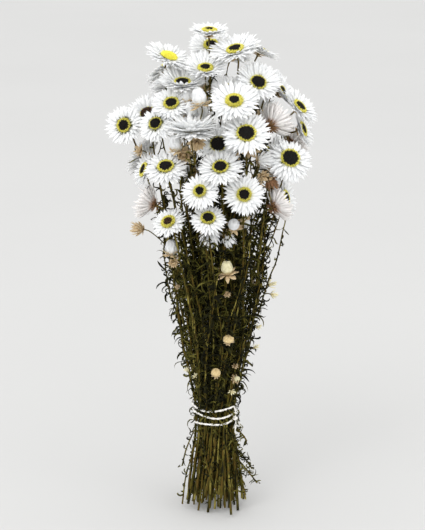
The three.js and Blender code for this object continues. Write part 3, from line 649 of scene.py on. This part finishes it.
def petal_shape(root, lift, length, width, curl, fold_up, roll, blunt):
    """A petal's corners in the plane of its own direction: x out, y across, z up along the flower's axis."""
    across, along, skin = petal_spots.T
    swell = np.where(along < WIDEST_AT, ROOT_WIDTH + SWELL * np.sin(along / WIDEST_AT * math.pi / 2),
                     1 - np.clip((along - WIDEST_AT) / TIP_PART, 0, 1) ** blunt * POINT)
    half = width / 2 * swell
    slope = lift + curl * along * along
    mean = lift + curl * along * along / 3
    out = root[0] + length * along * np.cos(mean)
    up = root[1] + length * along * np.sin(mean)
    hollow = fold_up * np.abs(across) ** 1.5 * half + roll * across * half
    thick = skin * PETAL_SKIN
    return np.column_stack((out - (hollow + thick) * np.sin(slope), across * half,
                            up + (hollow + thick) * np.cos(slope)))


def new_piece():
    """A piece to add to: its corners, faces, the paint of each face and each corner's spot on its petal."""
    return {"corners": [], "faces": [], "paints": [], "spots": []}


def add_to(piece, corners, faces, paints, spots):
    """Adds corners and the faces between them to a piece."""
    first = sum(len(block) for block in piece["corners"])
    piece["corners"].append(corners)
    piece["faces"] += [tuple(first + v for v in face) for face in faces]
    piece["paints"] += paints
    piece["spots"] += spots


def add_petal(piece, corners, k, paint):
    """Adds a petal that has its own stretch of the ribbed pattern."""
    spots = np.column_stack((petal_spots[:, 0] * 0.5 + 0.5 + k, petal_spots[:, 1]))
    add_to(piece, corners, petal_faces, [paint] * len(petal_faces), [spots])


def ring_of_petals(bloom, layers, look, paint):
    """All the petals of a flower in its own frame."""
    ring = new_piece()
    reach, cup, disc = bloom["reach"], bloom["cup"], bloom["disc"]
    for count, share, more_lift, root_share, root_height, width in layers:
        phase = draws.uniform(0, 2 * math.pi)
        for k in range(count):
            angle = phase + (k + draws.uniform(-PETAL_SHIFT, PETAL_SHIFT)) / count * 2 * math.pi
            lift = cup + more_lift + draws.gauss(0, LIFT_VARIES) * look["unruly"]
            root = (root_share * disc, root_height + draws.uniform(0, ROOT_VARIES))
            length = (share * reach * draws.uniform(*PETAL_LENGTHS) - root[0]) / max(math.cos(lift), 0.5)
            shape = petal_shape(root, lift, length, width * reach * draws.uniform(*PETAL_WIDTHS),
                                draws.gauss(look["curl"], CURL_VARIES) * look["unruly"],
                                draws.uniform(*PETAL_FOLDS), draws.gauss(0, ROLL_VARIES),
                                draws.uniform(*PETAL_TIPS))
            c, s = math.cos(angle), math.sin(angle)
            turned = np.column_stack((shape[:, 0] * c - shape[:, 1] * s, shape[:, 0] * s + shape[:, 1] * c,
                                      shape[:, 2]))
            add_petal(ring, turned, k, paint)
    return ring


def sides_of(axis):
    """Two directions square to an axis."""
    one = unit(np.cross((0, 0, 1) if abs(axis[2]) < 0.9 else (1, 0, 0), axis))
    return one, np.cross(axis, one)


def seated(corners, seat, axis):
    """Corners moved from a flower's own frame to its seat, along its axis."""
    one, two = sides_of(axis)
    return seat + corners[:, :1] * one + corners[:, 1:2] * two + corners[:, 2:] * axis


def set_on(piece, bloom, part):
    """Adds a part that was made in a flower's own frame to a piece, at the flower's place."""
    corners = seated(np.vstack(part["corners"]), bloom["seat"], bloom["axis"])
    add_to(piece, corners, part["faces"], part["paints"], part["spots"])


def mesh_piece(name, piece, materials):
    """Makes the mesh of a piece, smooth, with its paints and its pattern."""
    data = bpy.data.meshes.new(name)
    data.from_pydata(np.vstack(piece["corners"]).tolist(), [], piece["faces"])
    if piece["spots"]:
        layer = data.uv_layers.new(name="along_petal")
        loops = np.empty(len(data.loops), dtype=int)
        data.loops.foreach_get("vertex_index", loops)
        layer.data.foreach_set("uv", np.vstack(piece["spots"])[loops].ravel())
    for material in materials:
        data.materials.append(material)
    data.polygons.foreach_set("material_index", piece["paints"])
    data.polygons.foreach_set("use_smooth", [True] * len(data.polygons))
    data.update()
    made = bpy.data.objects.new(name, data)
    bpy.context.collection.objects.link(made)
    return made


def petal_finish(name, pale, shade, base):
    """Thin dry paper with fine ribs, paler along the petal and tinted at its root."""
    material, tree, shader = new_finish(name, 0.55, 0.3)
    shader.inputs["Subsurface Weight"].default_value = 0.3
    shader.inputs["Subsurface Radius"].default_value = (1.0, 0.95, 0.85)
    shader.inputs["Subsurface Scale"].default_value = 0.003
    ribs = drifting_colour(tree, "UV", 9, [(0.3, shade), (0.55, pale)], 3.0, (3.2, 0.5, 1))
    place = tree.nodes.new("ShaderNodeTexCoord")
    apart = tree.nodes.new("ShaderNodeSeparateXYZ")
    fade = tree.nodes.new("ShaderNodeMapRange")
    fade.inputs["From Min"].default_value = 0.02
    fade.inputs["From Max"].default_value = 0.38
    blend = tree.nodes.new("ShaderNodeMix")
    blend.data_type = "RGBA"
    blend.inputs[6].default_value = (*(linear(v) for v in base), 1)
    tree.links.new(place.outputs["UV"], apart.inputs["Vector"])
    tree.links.new(apart.outputs["Y"], fade.inputs["Value"])
    tree.links.new(fade.outputs["Result"], blend.inputs[0])
    tree.links.new(ribs, blend.inputs[7])
    tree.links.new(blend.outputs[2], shader.inputs["Base Color"])
    roughened(tree, shader, "UV", 14, 0.00012, (5, 0.4, 1))
    return material


petal_paint = petal_finish("white_paper_petal", (243, 244, 244), (236, 237, 237), (239, 239, 226))
spent_paint = petal_finish("aged_petal", (241, 238, 235), (235, 226, 222), (186, 142, 112))
bract_paint = petal_finish("tan_bract", (206, 182, 142), (168, 134, 92), (116, 84, 50))
brown_bract_paint = petal_finish("brown_bract", (122, 84, 52), (84, 56, 34), (54, 36, 22))

for name, bloom in blooms.items():
    bloom["spent"] = name in SPENT
    if bloom["spent"]:
        look, bracts, paints = SPENT_LOOK, SPENT_BRACT_LAYERS, (spent_paint, brown_bract_paint)
    else:
        look, bracts, paints = FRESH_LOOK, BRACT_LAYERS, (petal_paint, bract_paint)
    flower = new_piece()
    set_on(flower, bloom, ring_of_petals(bloom, LAYERS_OF.get(name, WHITE_LAYERS), look, 0))
    set_on(flower, bloom, ring_of_petals(bloom, bracts, BRACT_LOOK, 1))
    piece = mesh_piece(name.replace("petals", "bloom"), flower, paints)
    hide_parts(name)
    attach(piece, "root")


# ---- The eyes of the flowers --------------------------------------------------------------------------
# The disc is a low cushion of tiny packed florets: near black and velvety in the middle, with the open
# ones in a ring of yellow pollen at the edge. One flower is yellow all over; spent ones have gone brown.
FLORETS = 170
GOLDEN = math.pi * (3 - math.sqrt(5))
FLORET_TALL = 0.0019
DOME_EDGE, DOME_RISE, DOME_ROUND = 0.0036, 0.0019, 2.4
DARK_WAVES, FLORET_LEAN = 0.03, 0.7
DARK_SIZE, POLLEN_SIZE, POLLEN_LIFT = 0.18, 0.15, 0.0005
BRISTLE_OUT, BRISTLE_UP, BRISTLE_THICK, BRISTLE_LONG = 1.06, 0.0046, 0.0006, (0.0015, 0.004)
# Each eye: how far out it is dark, its size as a share of the disc, and its number of bristles.
PLAIN_EYE = (0.72, 1.0, 8)
EYES = {
    "petals_10_3": (0.55, 1.0, 0), "petals_12_3": (0.66, 0.95, 0), "petals_11_3": (0.7, 1.0, 0),
    "petals_10_2": (0.62, 0.95, 0), "petals_10_1": (0.78, 1.0, 0), "petals_11_4": (0.88, 1.0, 0),
    "petals_04_3": (0.56, 1.05, 0), "petals_11_1": (0.84, 1.0, 6), "petals_09_2": (0.97, 0.95, 0),
    "petals_01_3": (0.7, 0.95, 46), "petals_02_4": (0.82, 0.85, 40), "petals_04_2": (0.8, 1.17, 14),
    "petals_04_4": (0.93, 1.0, 10), "petals_05_2": (0.78, 1.2, 10), "petals_02_2": (0.74, 1.04, 20),
    "petals_03_2": (0.78, 0.98, 22), "petals_03_4": (0.62, 0.85, 0), "petals_04_1": (0.68, 0.95, 0),
    "petals_02_1": (0.6, 1.02, 0),
}
YELLOW_FLOWER = "petals_10_4"
BROWNED = (*SPENT, "petals_09_2", "petals_02_1")


def small_floret():
    """A floret: a short five-sided peg with a rounded end, its corners and faces always in one order."""
    bpy.ops.object.select_all(action="DESELECT")
    bpy.ops.mesh.primitive_cone_add(vertices=5, radius1=0.5, radius2=0.42, depth=1.0, end_fill_type="NGON")
    peg = bpy.context.object
    bpy.ops.object.mode_set(mode="EDIT")
    bpy.ops.mesh.select_all(action="DESELECT")
    bpy.ops.object.mode_set(mode="OBJECT")
    for face in peg.data.polygons:
        face.select = face.normal.z > 0.9
    bpy.ops.object.mode_set(mode="EDIT")
    bpy.ops.mesh.extrude_region_move(TRANSFORM_OT_translate={"value": (0, 0, 0.22)})
    bpy.ops.transform.resize(value=(0.5, 0.5, 1))
    bpy.ops.object.mode_set(mode="OBJECT")
    spots, faces = shape_of(peg)
    order = sorted(range(len(spots)), key=lambda k: tuple(np.round(spots[k], 5)))
    return spots[order], sorted((tuple(order.index(v) for v in face) for face in faces), key=sorted)


def floret_finish(name, stops, scale, rough, bump):
    """Grainy florets, with a colour that changes from one to the next."""
    material, tree, shader = drifting_finish(name, rough, 0.3, scale, stops)
    roughened(tree, shader, "Object", 2500, bump)
    return material


floret_spots, floret_faces = small_floret()
EYE_PAINTS = (
    floret_finish("dark_florets", [(0.35, (11, 10, 9)), (0.62, (27, 23, 19)), (0.8, (50, 42, 30))],
                  900, 0.85, 0.0003),
    floret_finish("yellow_florets", [(0.3, (172, 162, 50)), (0.5, (220, 211, 90)), (0.75, (242, 236, 142))],
                  700, 0.8, 0.0003),
    floret_finish("olive_bristles", [(0.35, (58, 62, 22)), (0.65, (96, 100, 44))], 700, 0.8, 0.0002),
    floret_finish("brown_florets", [(0.3, (46, 30, 17)), (0.6, (80, 54, 30)), (0.8, (112, 80, 46))],
                  800, 0.85, 0.0003),
    floret_finish("lemon_florets", [(0.3, (226, 216, 66)), (0.7, (252, 246, 104))], 700, 0.8, 0.0002),
)
DARK, POLLEN, OLIVE, BROWN, LEMON = range(5)


def put_floret(eye, place, up, size, height, paint):
    """Adds one floret, or a bristle, which is a thin long one."""
    corners = seated(floret_spots * (size, size, height), place, up)
    add_to(eye, corners, floret_faces, [paint] * len(floret_faces), [])


def eye_of(flower, bloom):
    """Florets in the sunflower's order over a low dome, and a few bristles that stand out past the ring."""
    eye = new_piece()
    dark, size_share, bristles = EYES.get(flower, PLAIN_EYE)
    disc = bloom["disc"] * size_share
    for k in range(FLORETS):
        share = math.sqrt((k + 0.5) / FLORETS)
        angle = k * GOLDEN
        dark_edge = dark + DARK_WAVES * math.sin(3 * angle) * draws.random()
        pollen = share > dark_edge or flower == YELLOW_FLOWER
        radius = share * disc * 0.98
        height = DOME_EDGE + DOME_RISE * (1 - share ** DOME_ROUND) + draws.uniform(0, 0.0004)
        if pollen:
            height += POLLEN_LIFT + draws.uniform(0, 0.0005)
        lean = unit(np.array((math.cos(angle) * share * FLORET_LEAN,
                              math.sin(angle) * share * FLORET_LEAN, 1.0)))
        if flower == YELLOW_FLOWER:
            paint = LEMON
        elif pollen:
            paint = BROWN if bloom["spent"] else POLLEN
        else:
            paint = BROWN if flower in BROWNED and k % 3 else DARK
        put_floret(eye, np.array((radius * math.cos(angle), radius * math.sin(angle), height)), lean,
                   disc * (POLLEN_SIZE if pollen else DARK_SIZE), FLORET_TALL, paint)
    for _ in range(bristles):
        angle = draws.uniform(0, 2 * math.pi)
        lean = unit(np.array((math.cos(angle), math.sin(angle), 0.25 + math.tan(bloom["cup"]))))
        place = np.array((math.cos(angle) * disc * BRISTLE_OUT, math.sin(angle) * disc * BRISTLE_OUT,
                          BRISTLE_UP))
        put_floret(eye, place, lean, BRISTLE_THICK, draws.uniform(*BRISTLE_LONG), OLIVE)
    return eye


for clump in range(CLUMPS):
    eyes = new_piece()
    for stem in (s for s in stems if s["clump"] == clump):
        bloom = blooms[stem["flower"]]
        set_on(eyes, bloom, eye_of(stem["flower"], bloom))
    piece = mesh_piece(f"eyes_{clump + 1:02d}", eyes, EYE_PAINTS)
    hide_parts(f"leafy_stems_{clump + 1:02d}")
    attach(piece, "root")


# ---- Buds and small heads -----------------------------------------------------------------------------
# Side shoots carry egg-shaped buds of closed white petals in a star of pointed tan bracts, heads that only
# half opened, tan stars that have shed their flower, and frayed scraps.

# Each closed layer: number of petals, then its height, swell, flare at the tip and petal width as shares of
# the head's width. Open layers are given as those of the petals are.
EGG = ((8, 1.2, 0.36, 0.0, 0.62), (8, 1.05, 0.40, 0.0, 0.6), (7, 0.9, 0.43, 0.03, 0.55))
CUP = ((9, 0.5, 0.4, 0.12, 0.62), (9, 0.58, 0.36, 0.05, 0.6), (8, 0.66, 0.28, 0.0, 0.55))
KNOB = ((9, 0.7, 0.4, 0.0, 0.62), (9, 0.76, 0.37, 0.0, 0.6), (8, 0.8, 0.3, 0.0, 0.55))
STAR = ((8, 1.0, -0.1, 0.3, 0.0, 0.4), (8, 0.85, 0.35, 0.3, 0.0006, 0.38), (7, 0.6, 0.8, 0.3, 0.001, 0.34))
COLLAR = ((8, 1.0, -0.25, 0.3, -0.0006, 0.36), (7, 0.8, 0.15, 0.3, 0.0, 0.36))
SHUTTLE = (
    (11, 1.0, 0.45, 0.5, 0.0, 0.3),
    (11, 0.95, 0.7, 0.4, 0.0006, 0.28),
    (9, 0.85, 0.95, 0.3, 0.001, 0.26),
)
SCRAP = ((5, 1.0, 0.5, 0.3, 0.0, 0.3), (4, 0.8, 1.1, 0.3, 0.001, 0.3))
HEAD_PAINTS = (
    petal_paint,
    petal_finish("cream_bud_petal", (238, 231, 190), (224, 210, 156), (200, 178, 120)),
    bract_paint,
    brown_bract_paint,
    petal_finish("straw_bract", (226, 200, 146), (200, 168, 112), (150, 112, 70)),
)
WHITE, CREAM, TAN, BROWN_BRACT, STRAW = range(5)
CLOSED = 0
# Each kind: its layers, their paint, and their reach as a share of the head's width where they are open.
KINDS = {
    "white bud": ((EGG, WHITE, CLOSED), (COLLAR, TAN, 0.85)),
    "cream bud": ((EGG, CREAM, CLOSED), (COLLAR, TAN, 1.05)),
    "star": ((STAR, TAN, 0.55),),
    "tan cup": ((CUP, STRAW, CLOSED), (COLLAR, TAN, 0.55)),
    "tan bud": ((KNOB, STRAW, CLOSED), (COLLAR, TAN, 0.5)),
    "tan shuttle": ((SHUTTLE, TAN, 0.6), (COLLAR, TAN, 0.4)),
    "shuttle": ((SHUTTLE, WHITE, 0.6), (COLLAR, TAN, 0.35)),
    "brown": ((SHUTTLE, BROWN_BRACT, 0.5), (COLLAR, TAN, 0.3)),
    "scrap": ((SCRAP, CREAM, 0.6),),
}
# Each head: its kind, its seat in millimetres, the turn and rise of its axis in degrees, and its width.
SMALL_HEADS = (
    ("white bud", -37, -52, 402, -62, 69, 14), ("white bud", -14, -58, 449, -69, 75, 15),
    ("white bud", -27, -40, 449, -60, 79, 10), ("star", -29, -46, 396, -30, 10, 20),
    ("star", -18, -60, 413, 0, -40, 20), ("tan shuttle", -74, -20, 312, -80, 13, 16),
    ("white bud", -45, -40, 291, 177, 86, 13), ("star", -43, -42, 284, 20, -30, 13),
    ("tan bud", -14, -47, 319, 1, 60, 14), ("white bud", 19, -50, 322, -1, 39, 12),
    ("white bud", 30, -44, 330, 110, -70, 9), ("shuttle", 11, -48, 314, 60, -60, 16),
    ("shuttle", -5, -50, 320, 10, -80, 24), ("cream bud", 12, -48, 273, -1, 66, 13),
    ("star", 12, -43, 249, 20, 30, 8), ("star", -38, -27, 252, -60, 30, 6),
    ("scrap", 55, -12, 250, 80, 20, 12), ("scrap", 58, -10, 240, 80, 0, 10),
    ("tan cup", 14, -42, 198, -4, 62, 12), ("tan bud", 1, -34, 159, -1, 50, 11),
    ("scrap", 43, -8, 203, 70, 20, 8), ("scrap", 41, -8, 180, 70, 30, 8),
    ("star", 21, -24, 165, 20, 40, 7), ("cream bud", 21, -24, 151, 40, 20, 6),
    ("scrap", 17, -25, 138, 20, 0, 8), ("scrap", -20, -24, 154, -30, 20, 7),
    ("scrap", -27, -14, 158, -60, 10, 7), ("shuttle", 43, -46, 390, 80, 8, 20),
    ("brown", 54, -48, 372, 107, -60, 18), ("shuttle", 61, -22, 394, 40, 50, 22),
    ("white bud", -25, -40, 435, 10, 60, 14), ("star", 35, -35, 399, 20, 20, 20),
    ("shuttle", -12, -40, 427, -20, 50, 24), ("shuttle", 23, -32, 427, 30, 40, 24),
    ("star", 47, -50, 376, 40, -20, 14), ("shuttle", 58, -30, 375, 60, 10, 20),
    ("star", -75, -15, 394, -81, 22, 15), ("shuttle", -30, -30, 431, -30, 55, 25),
    ("shuttle", 62, 40, 410, 130, 30, 22), ("white bud", -60, 52, 396, -130, 40, 14),
    ("star", 20, 74, 372, 170, 25, 18), ("white bud", 44, 60, 344, 150, 35, 13),
    ("shuttle", -20, 70, 392, -160, 35, 24), ("tan cup", -46, 46, 300, -140, 30, 14),
    ("white bud", 12, 52, 290, 175, 50, 12), ("star", 40, 30, 238, 120, 25, 12),
    ("cream bud", -30, 34, 226, -140, 40, 9), ("tan cup", 0, 42, 200, 180, 50, 11),
    ("scrap", 24, 28, 168, 140, 20, 8), ("scrap", -24, 24, 158, -130, 20, 8),
)
BUD_FOOT, BUD_ROUND, BUD_RISE, BUD_FOLD = 0.1, 0.75, 1.7, 0.05
HEAD_CUP, HEAD_DISC, HEAD_LOOK = 0.2, 0.2, {"unruly": 2.2, "curl": 0.15}
SHOOT_DROP, SHOOT_NECK, SHOOT_BEND, SHOOT_HALF = 0.022, 0.006, 0.012, 0.0006


def closed_petals(width, layers, paint):
    """Petals wrapped round an egg: they rise from the cup, swell out and meet at the tip."""
    bud = new_piece()
    across, along, skin = petal_spots.T
    for count, height, swell, flare_out, wide in layers:
        phase = draws.uniform(0, 6.3)
        for k in range(count):
            angle = phase + (k + draws.uniform(-0.2, 0.2)) / count * 2 * math.pi
            bulge = np.sin((0.06 + 0.93 * along) * math.pi) ** BUD_ROUND
            out = width * (BUD_FOOT * (1 - along) + swell * bulge + flare_out * along ** 2)
            up = width * height * (1 - (1 - along) ** BUD_RISE)
            half = width * wide * (0.5 + 0.5 * np.sin(along * math.pi)) * (1 - 0.9 * along ** 3) / 2
            reach = out + skin * PETAL_SKIN
            local = angle + across * half / np.maximum(out, width * 0.08)
            add_petal(bud, np.column_stack((reach * np.cos(local), reach * np.sin(local),
                                            up - BUD_FOLD * width * across ** 2)), k, paint)
    return bud


def open_petals(width, spread, layers, paint):
    """Petals or bracts spread from the middle of a small head."""
    head = {"reach": width * spread, "cup": HEAD_CUP, "disc": width * HEAD_DISC}
    return ring_of_petals(head, layers, HEAD_LOOK, paint)


homes = {}
stem_clumps = [s["clump"] for s in stems for _ in s["line"]]
stem_points = np.vstack([s["line"] for s in stems])
for kind, x, y, z, turn, rise, across in SMALL_HEADS:
    turn, rise, width = math.radians(turn), math.radians(rise), across / 1000
    axis = np.array((math.sin(turn) * math.cos(rise), -math.cos(turn) * math.cos(rise), math.sin(rise)))
    seat = np.array((x, y, z)) / 1000 + SHIFT
    lower = np.where(stem_points[:, 2] < seat[2] - SHOOT_DROP)[0]
    nearest = lower[np.argmin(np.linalg.norm(stem_points[lower] - seat, axis=1))]
    home = homes.setdefault(stem_clumps[nearest], {**new_piece(), "shoots": []})
    for layers, paint, spread in KINDS[kind]:
        if spread == CLOSED:
            part = closed_petals(width, layers, paint)
        else:
            part = open_petals(width, spread, layers, paint)
        set_on(home, {"seat": seat, "axis": axis}, part)
    home["shoots"].append(smooth_line([seat + axis * IN_HEAD, seat - axis * SHOOT_NECK,
                                       (seat - axis * SHOOT_BEND) * 0.55 + stem_points[nearest] * 0.45,
                                       stem_points[nearest]], 0.004))

for clump, home in sorted(homes.items()):
    heads = mesh_piece(f"small_heads_{clump + 1:02d}", home, HEAD_PAINTS)
    widths = [np.full(len(line), SHOOT_HALF) for line in home["shoots"]]
    shoots = strands(f"shoots_{clump + 1:02d}", home["shoots"], widths, roundness=1)
    shoots.data.materials.append(stem_paint)
    for part in (heads, shoots):
        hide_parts(f"leafy_stems_{clump + 1:02d}")
        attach(part, "root")


# ---- The string ---------------------------------------------------------------------------------------
# White cotton string of two plies goes round the waist three times and is knotted at the right, with two
# small loops and two short ends that hang down. Loose fibres stand off it all over.
STRING_HALF, KNOT_SHARE, FIBRE_HALF = 0.0007, 0.55, 0.00007
TURNS, TURN_POINTS = 3, 40
WOUND_HEIGHT, OVER_TIE = 0.026, 0.002
WAIST_RADIUS, WAIST_REACH, OFF_STEMS = 0.02215, 0.0193, 0.0005
SAG, SAG_GROWS, SAG_TURN = 0.0012, 0.003, 1.9
SLANT, SLANT_AT, SLANT_OVER = 0.0028, 0.615, 0.12
WAVER = 0.0007
KNOT_TURN, KNOT_HEIGHT = -0.6, 0.45
BAR_OUT = 0.0023
FIBRE_LENGTHS, FIBRE_BEND, FIBRE_EVERY = (0.001, 0.003), 0.5, 3
PLY_STEP, PLY_TURN, PLY_APART = 0.0012, 0.62, 0.6

turns = []
for i in range(TURNS * TURN_POINTS + 1):
    share = i / (TURNS * TURN_POINTS)
    angle = KNOT_TURN + 2 * math.pi * TURNS * share
    sag = (SAG + SAG_GROWS * share) * math.cos(angle + SAG_TURN - 0.5 * share)
    slant = SLANT * math.exp(-((share - SLANT_AT) / SLANT_OVER) ** 2) * math.cos(angle)
    waver = WAVER * math.sin(3 * angle + 5 * share)
    z = TIE + OVER_TIE + (share - 0.5) * WOUND_HEIGHT - sag - slant + waver
    radius = WAIST_RADIUS + WAIST_REACH * (flare(abs(z - TIE)) - 1) + OFF_STEMS
    turns.append(np.array((radius * math.cos(angle), radius * math.sin(angle), z)) + SHIFT)
outward = np.array((math.cos(KNOT_TURN), math.sin(KNOT_TURN), 0))
sideways = np.array((-outward[1], outward[0], 0))
down = np.array((0, 0, -1.0))
knot = turns[0] + (turns[-1] - turns[0]) * KNOT_HEIGHT
bar = [turns[0], turns[0] * 0.8 + turns[-1] * 0.2 + outward * BAR_OUT,
       turns[0] * 0.2 + turns[-1] * 0.8 + outward * BAR_OUT, turns[-1]]


def off_knot(out, side, drop):
    """A point this far out from the knot, to its side and under it."""
    return knot + outward * out + sideways * side + down * drop


ends = (
    [off_knot(0.0015, 0, 0), off_knot(0.004, 0.0025, 0.0045), off_knot(0.0045, 0.005, 0.01),
     off_knot(0.003, 0.004, 0.017)],
    [off_knot(0.0015, 0, 0), off_knot(0.0045, -0.002, 0.0055), off_knot(0.004, -0.003, 0.013),
     off_knot(0.0035, 0.001, 0.0195)],
)
loops = [
    [off_knot(0.0022 + 0.0018 * math.cos(a), size * math.sin(a) * math.cos(lean),
              size * math.sin(a) * math.sin(lean)) for a in np.linspace(0, 6.2, 14)]
    for size, lean in ((0.0032, 0.0), (0.0028, 1.2))
]


def two_plies(line):
    """The two plies of a string that twist round each other along a line."""
    fine = smooth_line(line, PLY_STEP)
    plies = [[], []]
    for i, point in enumerate(fine):
        one, two = sides_of(unit(fine[min(i + 1, len(fine) - 1)] - fine[max(i - 1, 0)]))
        for k in range(2):
            angle = i * PLY_TURN + k * math.pi
            off = (one * math.cos(angle) + two * math.sin(angle)) * STRING_HALF * PLY_APART
            plies[k].append(point + off)
    return [np.array(ply) for ply in plies]


plies, fibres = [], []
for line in (turns, bar, *ends, *loops):
    plies += two_plies(line)
for ply in plies:
    for point in ply[::FIBRE_EVERY]:
        way, turn = unit(any_way()), unit(any_way())
        length = draws.uniform(*FIBRE_LENGTHS)
        fibre = [point]
        for _ in range(3):
            way = unit(way + FIBRE_BEND * turn)
            fibre.append(fibre[-1] + way * length / 3)
        fibres.append(np.array(fibre))

cotton, tree, shader = drifting_finish("white_cotton", 0.95, 0.5, 500,
                                       [(0.35, (226, 222, 214)), (0.6, (246, 244, 240))])
shader.inputs["Sheen Weight"].default_value = 0.3
roughened(tree, shader, "Object", 3000, 0.0002)
widths = [np.full(len(ply), STRING_HALF * (1.0 if k < 2 else KNOT_SHARE)) for k, ply in enumerate(plies)]
widths += [np.full(len(fibre), FIBRE_HALF) for fibre in fibres]
string = strands("cotton_string", plies + fibres, widths, roundness=1)
string.data.materials.append(cotton)
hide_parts("tie_string")
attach(string, "root")
